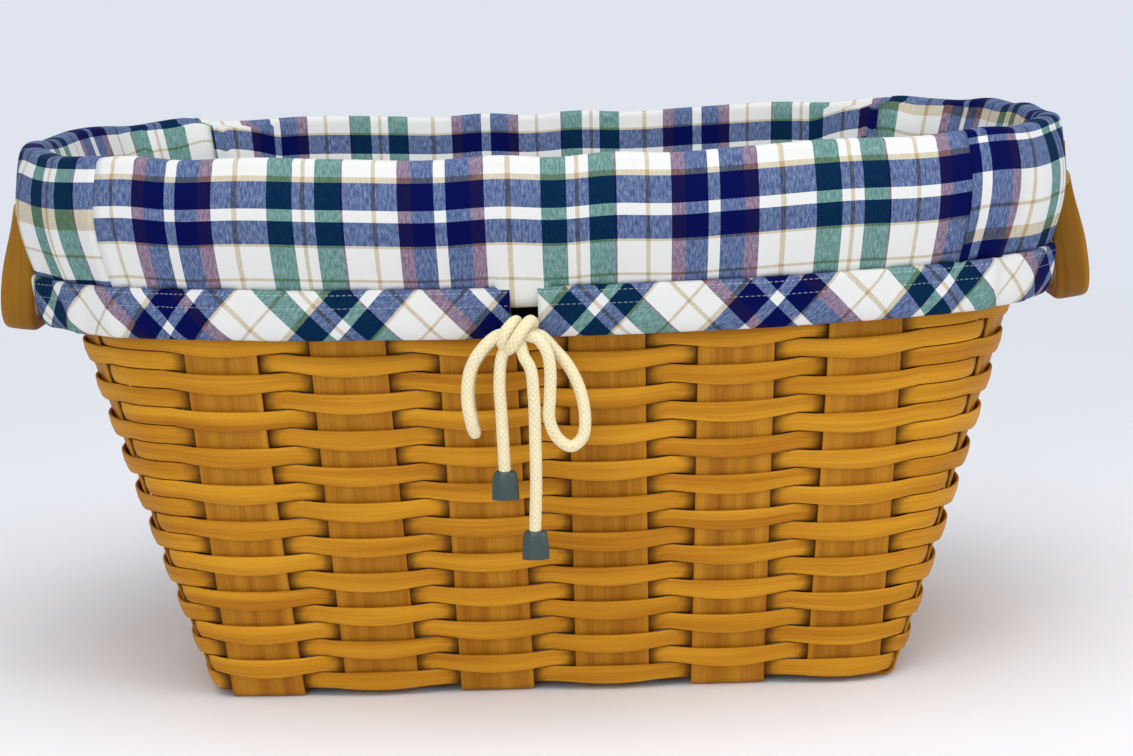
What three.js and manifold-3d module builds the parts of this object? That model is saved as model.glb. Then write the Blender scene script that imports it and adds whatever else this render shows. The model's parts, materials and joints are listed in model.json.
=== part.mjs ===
// Laundry basket: a flared basket of flat wooden splints with a fitted cloth liner, a drawstring
// in the liner's hem and a bentwood handle that swings at each end.
// Millimetres, +X along the length, -Y towards the front, +Z up. The origin is the middle of the
// underside, on the floor.

import * as THREE from 'three';
import { mergeVertices } from 'three/addons/utils/BufferGeometryUtils.js';
import Module from 'manifold-3d';

const wasm = await Module();
wasm.setup();

// Basket body. Lengths and widths are those of the wall's middle surface.
const BASE_LENGTH = 354;
const BASE_WIDTH = 222;
const RIM_LENGTH = 543;
const RIM_WIDTH = 349;
const BASE_SQUARENESS = 16; // power of the superellipse, high is square
const RIM_SQUARENESS = 3;
const RIM_SAG = 5; // the long sides of the rim dip this much at their middles
const BELLY = 6; // the walls bow out this much at half height

// Upright splints: each runs up one wall, under the base and up the opposite wall
const CROSS_SPLINTS = 6;
const LONG_SPLINTS = 4;
const SPLINT_WIDTH = 38.1;
const SPLINT_THICKNESS = 2;
const CORNER_SPACE = 8; // outermost splints to the ends of the base
const FAN = 5.5; // the spacing of the cross splints grows this much from base to rim
const END_FAN = 7; // and that of the long splints
const FOOT_RISE = 3.2; // height of the bend where a splint turns up the wall

// Weavers: one closed ring of thin splint for each row
const WEAVER_ROWS = 24;
const WEAVER_HEIGHT = 9.4;
const WEAVER_THICKNESS = 1.6;
const ROW_GAP = 0.4;
const WEAVE_GAP = 0.45; // weavers to the uprights, which twist a little between them

// Two bands clamp the tops of the uprights
const BAND_HEIGHT = 47;
const BAND_THICKNESS = 2.8;

// Swinging handles, in their own frame: pivot at the origin, hanging along -Z
const HANDLE_SPAN = 132; // over the outer faces of the legs
const HANDLE_DROP = 67; // pivot to the underside of the grip
const HANDLE_THICKNESS = 8;
const HANDLE_BEND = 26; // outer radius of the two bends
const HANDLE_END_WIDTH = 10.5; // at the pivot
const HANDLE_GRIP_WIDTH = 17.4;
const HANDLE_TAPER = 38; // length over which the width grows
const HANDLE_REST_TILT = 8; // degrees that a hanging handle leans out
const PIVOT_BELOW_RIM = 31.5;
const PIVOT_STANDOFF = 7.4; // pivot axis to the face of the rim band
const EAR_THICKNESS = 9;
const EAR_NOSE = 5.2; // radius round the pivot
const EAR_TOP = 19; // above the pivot
const RIVET_RADIUS = 2.2;
const RIVET_HEAD_RADIUS = 4.4;
const RIVET_HEAD = 1.6;

// Cloth liner
const CLOTH = 1.2;
const LINER_SLACK = 1.6; // liner to the inner rim band
const FLAP_FULLNESS = 6; // the hanging flap swells out this much
const FOLD_DEPTH = 1.4; // gathers in the flap round the corners
const FOLD_ROUND = 1; // softness of the turn over the rim
const FLAP_DROP = 62.4; // rim to the seam of the hem
const HEM_HEIGHT = 25.6;
const HEM_OFF_LONG_SIDES = 2.4; // hem to the weave behind it
const HEM_OFF_ENDS = 5;
const HEM_SEAM = 0.3;

// Drawstring and its bow
const CORD_DIAMETER = 6;
const CORD_SIDES = 8;
const HEM_GAP_CENTRE = -7.7; // where the hem opens for the cord, along X
const HEM_GAP_WIDTH = 13.5;
const KNOT_SIZE = [19, 15, 16];
const KNOT_OFFSET = [-2.3, 0.35]; // knot from the middle of the hem's opening and from the hem's foot
const CORD_END_WIDTH = 12.8;
const CORD_END_HEIGHT = 14;
const CORD_END_THICKNESS = 9;

// Clearances
const GAP = 0.3;
const EDGE_RUN = 2; // a weaver stays flat this far past an upright's edge
const TWIST_STEP = 1.5; // degrees of twist in one facet of an upright
const BOW_STEPS = 6; // least facets up one wall

// Derived sizes
const BASE_THICKNESS = 2 * SPLINT_THICKNESS + GAP;
const ROW_PITCH = WEAVER_HEIGHT + ROW_GAP;
const FIRST_ROW = BASE_THICKNESS + ROW_GAP;
const BAND_FOOT = FIRST_ROW + WEAVER_ROWS * ROW_PITCH;
const HEIGHT = BAND_FOOT + BAND_HEIGHT;
const WEAVER_OFFSET = SPLINT_THICKNESS / 2 + WEAVE_GAP + WEAVER_THICKNESS / 2;
const WEAVE_FACE = WEAVER_OFFSET + WEAVER_THICKNESS / 2;
const BAND_OFFSET = SPLINT_THICKNESS / 2 + GAP + BAND_THICKNESS / 2;
const BAND_FACE = BAND_OFFSET + BAND_THICKNESS / 2;
const LINER_OFFSET = BAND_FACE + LINER_SLACK + CLOTH / 2;
const CORD_CLEARANCE = 0.4;
const HEM_THICKNESS = CORD_DIAMETER + 2 * (CORD_CLEARANCE + CLOTH);
const HEM_TOP = HEIGHT - FLAP_DROP;
const LOW_LAYER = SPLINT_THICKNESS / 2;
const HIGH_LAYER = LOW_LAYER + SPLINT_THICKNESS + GAP;

const FLAT_REACH = SPLINT_WIDTH / 2 + EDGE_RUN;
const FINE_CORNER = [0.3, 0.7];
const LOOSE_CORNER = [1 / 4, 3 / 4];
const PLAIN_CORNER = [1 / 2];

const UP = new THREE.Vector3(0, 0, 1);
const DOWN = new THREE.Vector3(0, 0, -1);
const lerp = THREE.MathUtils.lerp;

// The four walls in turn, seen from above: front, right end, back, left end
const WALLS = [
  { along: [1, 0], out: [0, -1], isLong: true, splints: CROSS_SPLINTS },
  { along: [0, 1], out: [1, 0], isLong: false, splints: LONG_SPLINTS },
  { along: [-1, 0], out: [0, 1], isLong: true, splints: CROSS_SPLINTS },
  { along: [0, -1], out: [-1, 0], isLong: false, splints: LONG_SPLINTS },
];

// A frame is a point with a direction along the wall and one out of it, both level
function wallFrame(wall, reach, atRim) {
  const length = atRim ? RIM_LENGTH : BASE_LENGTH;
  const width = atRim ? RIM_WIDTH : BASE_WIDTH;
  const power = atRim ? RIM_SQUARENESS : BASE_SQUARENESS;
  const half = (wall.isLong ? length : width) / 2;
  const depth = (wall.isLong ? width : length) / 2;
  const ratio = Math.abs(reach) / half;
  const rest = 1 - ratio ** power;
  const out = depth * rest ** (1 / power);
  const slope = -Math.sign(reach) * (depth / half) * ratio ** (power - 1) * rest ** (1 / power - 1);
  const alongAxis = new THREE.Vector3(wall.along[0], wall.along[1], 0);
  const outAxis = new THREE.Vector3(wall.out[0], wall.out[1], 0);
  const corner = half * 2 ** (-1 / power);
  const sag = atRim && wall.isLong ? RIM_SAG * Math.max(0, 1 - (reach / corner) ** 2) : 0;
  const origin = alongAxis.clone().multiplyScalar(reach).addScaledVector(outAxis, out);
  origin.z = atRim ? HEIGHT - sag : 0;
  const along = alongAxis.clone().addScaledVector(outAxis, slope).normalize();
  return { origin, along, out: outward(along) };
}

function outward(along) {
  return new THREE.Vector3(along.y, -along.x, 0);
}

// A point given by its distances along, out of and above a frame
function place(frame, along, out, above = 0) {
  return frame.origin
    .clone()
    .addScaledVector(frame.along, along)
    .addScaledVector(frame.out, out)
    .addScaledVector(UP, above);
}

// Every upright in order round the basket, with its place at the floor and at the rim
const UPRIGHTS = WALLS.flatMap((wall) => {
  const baseRun = (wall.isLong ? BASE_LENGTH : BASE_WIDTH) - SPLINT_WIDTH - 2 * CORNER_SPACE;
  const basePitch = baseRun / (wall.splints - 1);
  return Array.from({ length: wall.splints }, (_, index) => {
    const fromMiddle = index - (wall.splints - 1) / 2;
    const foot = wallFrame(wall, fromMiddle * basePitch, false);
    const top = wallFrame(wall, fromMiddle * (basePitch + (wall.isLong ? FAN : END_FAN)), true);
    return { foot, top, lastOfWall: index === wall.splints - 1 };
  });
});

// An upright bows out and turns slowly on its way up, and no longer turns between the rim bands
function uprightFrame({ foot, top }, height) {
  const share = height / HEIGHT;
  const along = foot.along.clone().lerp(top.along, Math.min(1, height / BAND_FOOT)).normalize();
  const out = outward(along);
  const bow = 4 * BELLY * share * (1 - share);
  return { origin: foot.origin.clone().lerp(top.origin, share).addScaledVector(out, bow), along, out };
}

// Where two level lines cross: from a forwards and from b backwards
function crossing(a, b) {
  const dx = b.origin.x - a.origin.x;
  const dy = b.origin.y - a.origin.y;
  const turn = a.along.x * b.along.y - a.along.y * b.along.x;
  const run = (dx * b.along.y - dy * b.along.x) / turn;
  return a.origin.clone().addScaledVector(a.along, run);
}

// Frames round the whole wall at one height: both edges of each upright, and some on the curve of
// each corner. Each frame knows its upright, and a corner frame its share of the way to the next.
function ringFrames(height, reach = FLAT_REACH, cornerShares = FINE_CORNER) {
  const ring = [];
  UPRIGHTS.forEach((upright, index) => {
    const frame = uprightFrame(upright, height);
    const near = { ...frame, origin: place(frame, -reach, 0) };
    const far = { ...frame, origin: place(frame, reach, 0) };
    ring.push({ ...near, index, share: 0 }, { ...far, index, share: 0 });
    if (!upright.lastOfWall) return;
    const nextFrame = uprightFrame(UPRIGHTS[(index + 1) % UPRIGHTS.length], height);
    const next = { ...nextFrame, origin: place(nextFrame, -reach, 0) };
    const peak = crossing(far, next);
    peak.z = (far.origin.z + next.origin.z) / 2;
    for (const share of cornerShares) {
      const first = far.origin.clone().lerp(peak, share);
      const second = peak.clone().lerp(next.origin, share);
      const along = second.clone().sub(first).setZ(0).normalize();
      ring.push({ origin: first.lerp(second, share), along, out: outward(along), index, share });
    }
  });
  return ring;
}

// Index in the ring of the last frame before a wall's first upright, where the liner has its seam
const RING_PER_WALL = WALLS.map((wall) => 2 * wall.splints + 2);
const RING_COUNT = RING_PER_WALL.reduce((sum, count) => sum + count, 0);

// Geometry of a closed solid from vertices and faces, turned so that its faces point out
function solidOf(vertices, triangles) {
  const a = new THREE.Vector3();
  const b = new THREE.Vector3();
  const c = new THREE.Vector3();
  let volume = 0;
  for (const [i, j, k] of triangles) {
    a.copy(vertices[i]);
    b.copy(vertices[j]);
    c.copy(vertices[k]);
    volume += a.dot(b.cross(c));
  }
  const ordered = volume < 0 ? triangles.map(([i, j, k]) => [i, k, j]) : triangles;
  const geometry = new THREE.BufferGeometry().setFromPoints(vertices);
  geometry.setIndex(ordered.flat());
  geometry.computeVertexNormals();
  return geometry;
}

// Solid between two equal grids of points, the front and the back of a sheet. Rows may close into a
// ring, and so may the points across each row.
function sheet(front, back, { ringRows = false, ringAcross = false } = {}) {
  const rows = front.length;
  const across = front[0].length;
  const half = rows * across;
  const at = (row, column) => (row % rows) * across + (column % across);
  const triangles = [];
  const quad = (p, q, r, s) => triangles.push([p, q, r], [p, r, s]);
  const lastRow = ringRows ? rows : rows - 1;
  const lastColumn = ringAcross ? across : across - 1;
  for (let i = 0; i < lastRow; i += 1) {
    for (let j = 0; j < lastColumn; j += 1) {
      const [p, q, r, s] = [at(i, j), at(i + 1, j), at(i + 1, j + 1), at(i, j + 1)];
      quad(p, q, r, s);
      quad(p + half, s + half, r + half, q + half);
    }
    if (ringAcross) continue;
    quad(at(i + 1, 0), at(i, 0), at(i, 0) + half, at(i + 1, 0) + half);
    const edge = across - 1;
    quad(at(i, edge), at(i + 1, edge), at(i + 1, edge) + half, at(i, edge) + half);
  }
  for (let j = 0; j < lastColumn && !ringRows; j += 1) {
    const end = rows - 1;
    quad(at(0, j), at(0, j + 1), at(0, j + 1) + half, at(0, j) + half);
    quad(at(end, j + 1), at(end, j), at(end, j) + half, at(end, j + 1) + half);
  }
  return solidOf([...front.flat(), ...back.flat()], triangles);
}

// Solid through a row of equal convex outlines, closed at both ends
function loft(outlines) {
  const count = outlines[0].length;
  const triangles = [];
  for (let i = 0; i + 1 < outlines.length; i += 1) {
    for (let j = 0; j < count; j += 1) {
      const a = i * count + j;
      const b = i * count + ((j + 1) % count);
      triangles.push([a, b, b + count], [a, b + count, a + count]);
    }
  }
  const last = (outlines.length - 1) * count;
  for (let j = 1; j + 1 < count; j += 1) {
    triangles.push([0, j + 1, j], [last, last + j, last + j + 1]);
  }
  return solidOf(outlines.flat(), triangles);
}

// Boolean work: three.js geometry to a solid and back
function toSolid(geometry) {
  const bare = geometry.clone();
  bare.deleteAttribute('normal');
  bare.deleteAttribute('uv');
  const merged = mergeVertices(bare, 1e-4);
  const vertProperties = Float32Array.from(merged.attributes.position.array);
  const triVerts = Uint32Array.from(merged.index.array);
  return new wasm.Manifold(new wasm.Mesh({ numProp: 3, vertProperties, triVerts }));
}

function fromSolid(solid) {
  const mesh = solid.getMesh();
  const geometry = new THREE.BufferGeometry();
  geometry.setAttribute('position', new THREE.BufferAttribute(mesh.vertProperties, 3));
  geometry.setIndex(new THREE.BufferAttribute(mesh.triVerts, 1));
  geometry.computeVertexNormals();
  return geometry;
}

// A flat outline in X and Z, made solid along Y from one Y to another
function plateAlongY(outline, fromY, toY) {
  const shape = new THREE.Shape(outline.map(([x, z]) => new THREE.Vector2(x, z)));
  const plate = new THREE.ExtrudeGeometry(shape, { depth: toY - fromY, bevelEnabled: false });
  return plate.rotateX(Math.PI / 2).translate(0, toY, 0);
}

// A round rod or disc along Y
function rodAlongY(profile, sides) {
  const points = profile.map(([radius, y]) => new THREE.Vector2(radius, y));
  return new THREE.LatheGeometry(points, sides);
}

function cylinderAlongY(radius, fromY, toY, sides = 24) {
  return rodAlongY([[0, fromY], [radius, fromY], [radius, toY], [0, toY]], sides);
}

function cordAlong(points, steps) {
  const section = Array.from({ length: CORD_SIDES }, (_, i) => {
    const angle = (2 * Math.PI * i) / CORD_SIDES;
    return new THREE.Vector2(Math.cos(angle), Math.sin(angle)).multiplyScalar(CORD_DIAMETER / 2);
  });
  const extrudePath = new THREE.CatmullRomCurve3(points);
  const options = { steps, extrudePath, bevelEnabled: false };
  return new THREE.ExtrudeGeometry(new THREE.Shape(section), options);
}

// The model
const basket = new THREE.Group();

function add(name, geometry, color, roughness = 0.6, metalness = 0) {
  const material = new THREE.MeshStandardMaterial({ color, roughness, metalness });
  const mesh = new THREE.Mesh(geometry, material);
  mesh.name = name;
  basket.add(mesh);
  return mesh;
}

const SPLINT_COLOR = '#b98a52';
const WEAVER_COLOR = '#a87740';
const BAND_COLOR = '#a06c36';
const HANDLE_COLOR = '#8f5f2d';
const BRASS_COLOR = '#b48a3c';
const CLOTH_COLOR = '#c9c4b8';
const HEM_COLOR = '#8c8f93';
const CORD_COLOR = '#e6ddc8';
const CORD_END_COLOR = '#3d4c4c';

// One upright splint: down a wall, across the base over and under the splints that cross it, up the
// opposite wall. Its foot lies low where the first weaver passes inside it.
function uprightSplint(startUpright, endUpright, across, crossings) {
  const outlines = [];
  const half = SPLINT_WIDTH / 2;
  const addOutline = (centre, side, face, thickness) => {
    const corner = (u, v) => centre.clone().addScaledVector(side, u).addScaledVector(face, v);
    const v = thickness / 2;
    outlines.push([corner(-half, v), corner(half, v), corner(half, -v), corner(-half, -v)]);
  };
  const climb = (upright, layer, turn) => {
    const stations = [];
    const twist = THREE.MathUtils.radToDeg(upright.foot.along.angleTo(upright.top.along));
    const steps = Math.max(BOW_STEPS, Math.ceil(twist / TWIST_STEP));
    for (let i = 0; i <= steps; i += 1) {
      const frame = uprightFrame(upright, lerp(HEIGHT - GAP, layer + FOOT_RISE, i / steps));
      const side = frame.along.clone().multiplyScalar(turn);
      stations.push([frame.origin, side, frame.out, SPLINT_THICKNESS]);
    }
    const inset = FOOT_RISE * 0.3;
    const knuckle = uprightFrame(upright, layer + inset);
    const side = knuckle.along.clone().multiplyScalar(turn);
    const slant = knuckle.out.clone().add(DOWN).normalize();
    stations.push([place(knuckle, 0, -inset), side, slant, SPLINT_THICKNESS * 1.08]);
    const foot = uprightFrame(upright, layer);
    stations.push([place(foot, 0, -FOOT_RISE), side, DOWN, SPLINT_THICKNESS]);
    return stations;
  };
  const first = climb(startUpright, crossings[0].layer, 1);
  const last = climb(endUpright, crossings[crossings.length - 1].layer, -1).reverse();
  const middle = crossings.flatMap(({ centre, layer, travel }) =>
    [-1, 1].map((sign) => {
      const run = sign * (half + EDGE_RUN * 0.5);
      const point = centre.clone().addScaledVector(travel, run).setZ(layer);
      return [point, across, DOWN, SPLINT_THICKNESS];
    }),
  );
  [...first, ...middle, ...last].forEach((station) => addOutline(...station));
  return loft(outlines);
}

const X_AXIS = new THREE.Vector3(1, 0, 0);
const Y_AXIS = new THREE.Vector3(0, 1, 0);
const frontFirst = 0;
const rightFirst = CROSS_SPLINTS;
const backFirst = rightFirst + LONG_SPLINTS;
const leftFirst = backFirst + CROSS_SPLINTS;
const crossX = (k) => UPRIGHTS[frontFirst + k].foot.origin.x;
const longY = (m) => UPRIGHTS[rightFirst + m].foot.origin.y;

for (let k = 0; k < CROSS_SPLINTS; k += 1) {
  const crossings = Array.from({ length: LONG_SPLINTS }, (_, m) => ({
    centre: new THREE.Vector3(crossX(k), longY(m), 0),
    layer: (k + m) % 2 === 0 ? LOW_LAYER : HIGH_LAYER,
    travel: Y_AXIS,
  }));
  const front = UPRIGHTS[frontFirst + k];
  const back = UPRIGHTS[backFirst + CROSS_SPLINTS - 1 - k];
  add(`cross_splint_${k + 1}`, uprightSplint(front, back, X_AXIS, crossings), SPLINT_COLOR);
}

for (let m = 0; m < LONG_SPLINTS; m += 1) {
  const crossings = Array.from({ length: CROSS_SPLINTS }, (_, k) => ({
    centre: new THREE.Vector3(crossX(k), longY(m), 0),
    layer: (k + m) % 2 === 0 ? HIGH_LAYER : LOW_LAYER,
    travel: X_AXIS,
  }));
  const left = UPRIGHTS[leftFirst + LONG_SPLINTS - 1 - m];
  const right = UPRIGHTS[rightFirst + m];
  const across = Y_AXIS.clone().negate();
  add(`long_splint_${m + 1}`, uprightSplint(left, right, across, crossings), SPLINT_COLOR);
}

// A ring of splint standing between two heights. Its offset out of the wall may differ at each upright.
function splintRing(low, high, thickness, offsetAt, cornerShares) {
  const lowRing = ringFrames(low, FLAT_REACH, cornerShares);
  const highRing = ringFrames(high, FLAT_REACH, cornerShares);
  const face = (sign) =>
    lowRing.map((frame, i) => {
      const here = offsetAt(frame.index);
      const next = offsetAt(frame.index + 1);
      const out = lerp(here, next, frame.share) + (sign * thickness) / 2;
      return [place(frame, 0, out), place(highRing[i], 0, out)];
    });
  return sheet(face(1), face(-1), { ringRows: true });
}

for (let row = 1; row <= WEAVER_ROWS; row += 1) {
  const low = FIRST_ROW + (row - 1) * ROW_PITCH;
  const offsetAt = (index) => ((index + row) % 2 === 0 ? WEAVER_OFFSET : -WEAVER_OFFSET);
  const ring = splintRing(low, low + WEAVER_HEIGHT, WEAVER_THICKNESS, offsetAt, PLAIN_CORNER);
  add(`weaver_${String(row).padStart(2, '0')}`, ring, WEAVER_COLOR);
}

add('rim_band_outer', splintRing(BAND_FOOT, HEIGHT, BAND_THICKNESS, () => BAND_OFFSET), BAND_COLOR);
add('rim_band_inner', splintRing(BAND_FOOT, HEIGHT, BAND_THICKNESS, () => -BAND_OFFSET), BAND_COLOR);

// Handles. The legs stand outside the ears, and the pivot stands off the rim band.
const LEG_OUTER = HANDLE_SPAN / 2;
const LEG_INNER = LEG_OUTER - HANDLE_THICKNESS;
const EAR_OUTER = LEG_INNER - 2 * GAP;
const EAR_INNER = EAR_OUTER - EAR_THICKNESS;
const PIVOT_HEIGHT = HEIGHT - PIVOT_BELOW_RIM;

// X of the wall's middle surface at the right end, at a Y and a height
function endWallX(y, height) {
  const ring = ringFrames(height);
  const start = RING_PER_WALL[0] - 2;
  for (let i = start; i + 1 < ring.length; i += 1) {
    const a = ring[i].origin;
    const b = ring[i + 1].origin;
    if (a.y <= y && y <= b.y) return lerp(a.x, b.x, (y - a.y) / (b.y - a.y));
  }
  return ring[start].origin.x;
}

const PIVOT_X = endWallX(-LEG_INNER, PIVOT_HEIGHT) + BAND_FACE + PIVOT_STANDOFF;

// Points of an arc in a plane, from one angle to another in degrees
function arc(cx, cy, radius, fromDegrees, toDegrees, steps) {
  return Array.from({ length: steps + 1 }, (_, i) => {
    const angle = THREE.MathUtils.degToRad(lerp(fromDegrees, toDegrees, i / steps));
    return [cx + radius * Math.cos(angle), cy + radius * Math.sin(angle)];
  });
}

function handleGeometry() {
  const endRadius = HANDLE_END_WIDTH / 2;
  const gripHalf = HANDLE_GRIP_WIDTH / 2;
  const bendY = LEG_OUTER - HANDLE_BEND;
  const bendZ = HANDLE_BEND - HANDLE_DROP;
  const outerBend = arc(bendY, bendZ, HANDLE_BEND, 0, -90, 6);
  const innerBend = arc(bendY, bendZ, HANDLE_BEND - HANDLE_THICKNESS, -90, 0, 6);
  const mirrored = (points) => points.map(([y, z]) => [-y, z]).reverse();
  const loop = [
    [LEG_OUTER, endRadius],
    ...outerBend,
    ...mirrored(outerBend),
    [-LEG_OUTER, endRadius],
    [-LEG_INNER, endRadius],
    ...mirrored(innerBend),
    ...innerBend,
    [LEG_INNER, endRadius],
  ];
  const shape = new THREE.Shape(loop.map(([y, z]) => new THREE.Vector2(y, z)));
  const depth = 2 * HANDLE_GRIP_WIDTH;
  const bow = new THREE.ExtrudeGeometry(shape, { depth, bevelEnabled: false });
  bow.translate(0, 0, -depth / 2);
  bow.applyMatrix4(new THREE.Matrix4().makeBasis(Y_AXIS, UP, X_AXIS));
  const sideOutline = [
    ...arc(0, 0, endRadius, 0, 180, 10),
    [-gripHalf, -HANDLE_TAPER],
    [-gripHalf, -HANDLE_DROP - 1],
    [gripHalf, -HANDLE_DROP - 1],
    [gripHalf, -HANDLE_TAPER],
  ];
  const side = plateAlongY(sideOutline, -LEG_OUTER - 1, LEG_OUTER + 1);
  const bore = cylinderAlongY(RIVET_RADIUS + GAP, -LEG_OUTER - 2, LEG_OUTER + 2, 12);
  return toSolid(bow).intersect(toSolid(side)).subtract(toSolid(bore));
}

// An ear carries one end of a handle. Its back is cut to the face of the rim band.
function earSolid(fromY, toY, seat) {
  const nose = arc(PIVOT_X, PIVOT_HEIGHT, EAR_NOSE, -70, 30, 8);
  const back = PIVOT_X - PIVOT_STANDOFF - 3 * BAND_THICKNESS;
  const outline = [
    ...nose,
    [PIVOT_X + EAR_NOSE * 0.7, PIVOT_HEIGHT + EAR_TOP],
    [back, PIVOT_HEIGHT + EAR_TOP],
    [back, PIVOT_HEIGHT - EAR_NOSE],
  ];
  const plate = toSolid(plateAlongY(outline, fromY, toY));
  const bore = cylinderAlongY(RIVET_RADIUS + GAP, fromY - 1, toY + 1, 12);
  bore.translate(PIVOT_X, 0, PIVOT_HEIGHT);
  return plate.subtract(toSolid(bore)).subtract(seat);
}

const seatHalf = PIVOT_STANDOFF + 4 * BAND_THICKNESS;
const seatOffset = () => BAND_FACE + GAP - seatHalf;
const SEAT = toSolid(splintRing(BAND_FOOT - BAND_HEIGHT / 2, HEIGHT + 1, 2 * seatHalf, seatOffset));
const HANDLE = handleGeometry();
const RIVET_PROFILE = [
  [0, EAR_INNER - GAP - RIVET_HEAD],
  [RIVET_HEAD_RADIUS, EAR_INNER - GAP - RIVET_HEAD],
  [RIVET_HEAD_RADIUS, EAR_INNER - GAP],
  [RIVET_RADIUS, EAR_INNER - GAP],
  [RIVET_RADIUS, LEG_OUTER + GAP],
  [RIVET_HEAD_RADIUS, LEG_OUTER + GAP],
  [RIVET_HEAD_RADIUS, LEG_OUTER + GAP + RIVET_HEAD],
  [0, LEG_OUTER + GAP + RIVET_HEAD],
];

for (const [end, turn] of [['right', 0], ['left', Math.PI]]) {
  const handle = add(`handle_${end}`, fromSolid(HANDLE), HANDLE_COLOR, 0.5);
  handle.position.set(PIVOT_X, 0, PIVOT_HEIGHT).applyAxisAngle(UP, turn);
  handle.rotation.set(0, -THREE.MathUtils.degToRad(HANDLE_REST_TILT), turn, 'ZYX');
  for (const sign of [-1, 1]) {
    const [fromY, toY] = sign > 0 ? [EAR_INNER, EAR_OUTER] : [-EAR_OUTER, -EAR_INNER];
    const side = (sign < 0) === (turn === 0) ? 'front' : 'back';
    const ear = add(`handle_ear_${end}_${side}`, fromSolid(earSolid(fromY, toY, SEAT)), BAND_COLOR);
    ear.rotation.z = turn;
    const profile = RIVET_PROFILE.map(([radius, y]) => [radius, sign * y]);
    const rivetShape = rodAlongY(sign > 0 ? profile : profile.reverse(), 12);
    const rivetGeometry = fromSolid(toSolid(rivetShape));
    const rivet = add(`handle_rivet_${end}_${side}`, rivetGeometry, BRASS_COLOR, 0.35, 1);
    rivet.position.set(PIVOT_X, 0, PIVOT_HEIGHT).applyAxisAngle(UP, turn);
    rivet.rotation.z = turn;
  }
}

// Liner. The floor lies on the base splints, and the wall panels stand round its edge.
const LINER_FOOT = BASE_THICKNESS + GAP;
const LINER_REACH = SPLINT_WIDTH / 2 - LINER_OFFSET; // leaves the liner room to turn inside the corners
const floorOutline = ringFrames(LINER_FOOT, LINER_REACH, LOOSE_CORNER).map((frame) => {
  const point = place(frame, 0, -LINER_OFFSET - CLOTH / 2 - GAP);
  return new THREE.Vector2(point.x, point.y);
});
const floorShape = new THREE.Shape(floorOutline);
const floorCloth = new THREE.ExtrudeGeometry(floorShape, { depth: CLOTH, bevelEnabled: false });
add('liner_floor', floorCloth.translate(0, 0, LINER_FOOT), CLOTH_COLOR, 0.95);

// Inside, the cloth hangs straight from the rim to the floor, clear of the wall's belly
const RIM_RING = ringFrames(HEIGHT);
const INNER_LEVELS = [LINER_FOOT, HEIGHT - BAND_HEIGHT / 4];
const INNER_RINGS = INNER_LEVELS.map((level) => ringFrames(level, LINER_REACH, LOOSE_CORNER));
const HEM_TOP_RING = ringFrames(HEM_TOP);
const HEM_FOOT_RING = ringFrames(HEM_TOP - HEM_HEIGHT);

// Distance of the hem's middle from the wall: more at the ends than along the sides
function hemOffset(frame) {
  const clear = lerp(HEM_OFF_LONG_SIDES, HEM_OFF_ENDS, frame.out.x ** 2);
  return WEAVE_FACE + clear + HEM_THICKNESS / 2;
}

// Gathers in and out by turns round the corners
function gather(index) {
  const frame = RIM_RING[index % RING_COUNT];
  const cornerness = 4 * (frame.out.x * frame.out.y) ** 2;
  return FOLD_DEPTH * cornerness * (index % 2 === 0 ? 1 : -1);
}

// Middle line of the cloth at one frame of the ring: up inside the wall, over the rim and down
// outside it to the hem's seam. Each point comes with the direction of the cloth's outer face.
function linerLine(i) {
  const index = i % RING_COUNT;
  const rim = RIM_RING[index];
  const line = INNER_RINGS.map((ring) => [place(ring[index], 0, -LINER_OFFSET), rim.out]);
  const top = GAP + CLOTH / 2;
  const shoulder = BAND_FACE + GAP + CLOTH / 2;
  const upOut = rim.out.clone().add(UP).normalize();
  const upIn = UP.clone().sub(rim.out).normalize();
  line.push([place(rim, 0, -LINER_OFFSET, -FOLD_ROUND), rim.out]);
  line.push([place(rim, 0, -BAND_FACE, top), upIn.negate()]);
  line.push([place(rim, 0, shoulder - FOLD_ROUND, top), DOWN]);
  line.push([place(rim, 0, shoulder + 0.8 * FOLD_ROUND, -1.5 * FOLD_ROUND), upOut.negate()]);
  const fold = place(rim, 0, shoulder + FOLD_ROUND, -5 * FOLD_ROUND);
  const seam = place(HEM_TOP_RING[index], 0, hemOffset(rim), GAP);
  const endness = rim.out.x ** 4;
  for (const share of [0, 0.3, 0.65, 1]) {
    const swell = FLAP_FULLNESS * Math.sin(Math.PI * share) * (1 - endness);
    const hang = fold.clone().lerp(seam, share).addScaledVector(rim.out, swell + gather(index) * share);
    line.push([hang, rim.out.clone().negate()]);
  }
  return line;
}

// A panel of the liner between two seams, which are cut back by the seam gap
function linerPanel(first, last) {
  const lines = [];
  for (let i = first; i <= last; i += 1) lines.push(linerLine(i));
  const trim = (end, next) => {
    lines[end].forEach(([point], j) => {
      const step = lines[next][j][0].clone().sub(point).normalize();
      point.addScaledVector(step, HEM_SEAM / 2);
    });
  };
  trim(0, 1);
  trim(lines.length - 1, lines.length - 2);
  const lineFace = (line, half) => line.map(([point, out]) => point.clone().addScaledVector(out, half));
  const face = (half) => lines.map((line) => lineFace(line, half));
  return sheet(face(CLOTH / 2), face(-CLOTH / 2));
}

const seams = [];
RING_PER_WALL.reduce((start, count) => {
  seams.push(start + count - 2);
  return start + count;
}, 0);
const [frontRight, endRight, backLeft, endLeft] = [seams[0], seams[1] + 1, seams[2], seams[3] + 1];
add('liner_front', linerPanel(endLeft, frontRight + RING_COUNT), CLOTH_COLOR, 0.95);
add('liner_back', linerPanel(endRight, backLeft), CLOTH_COLOR, 0.95);

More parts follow.
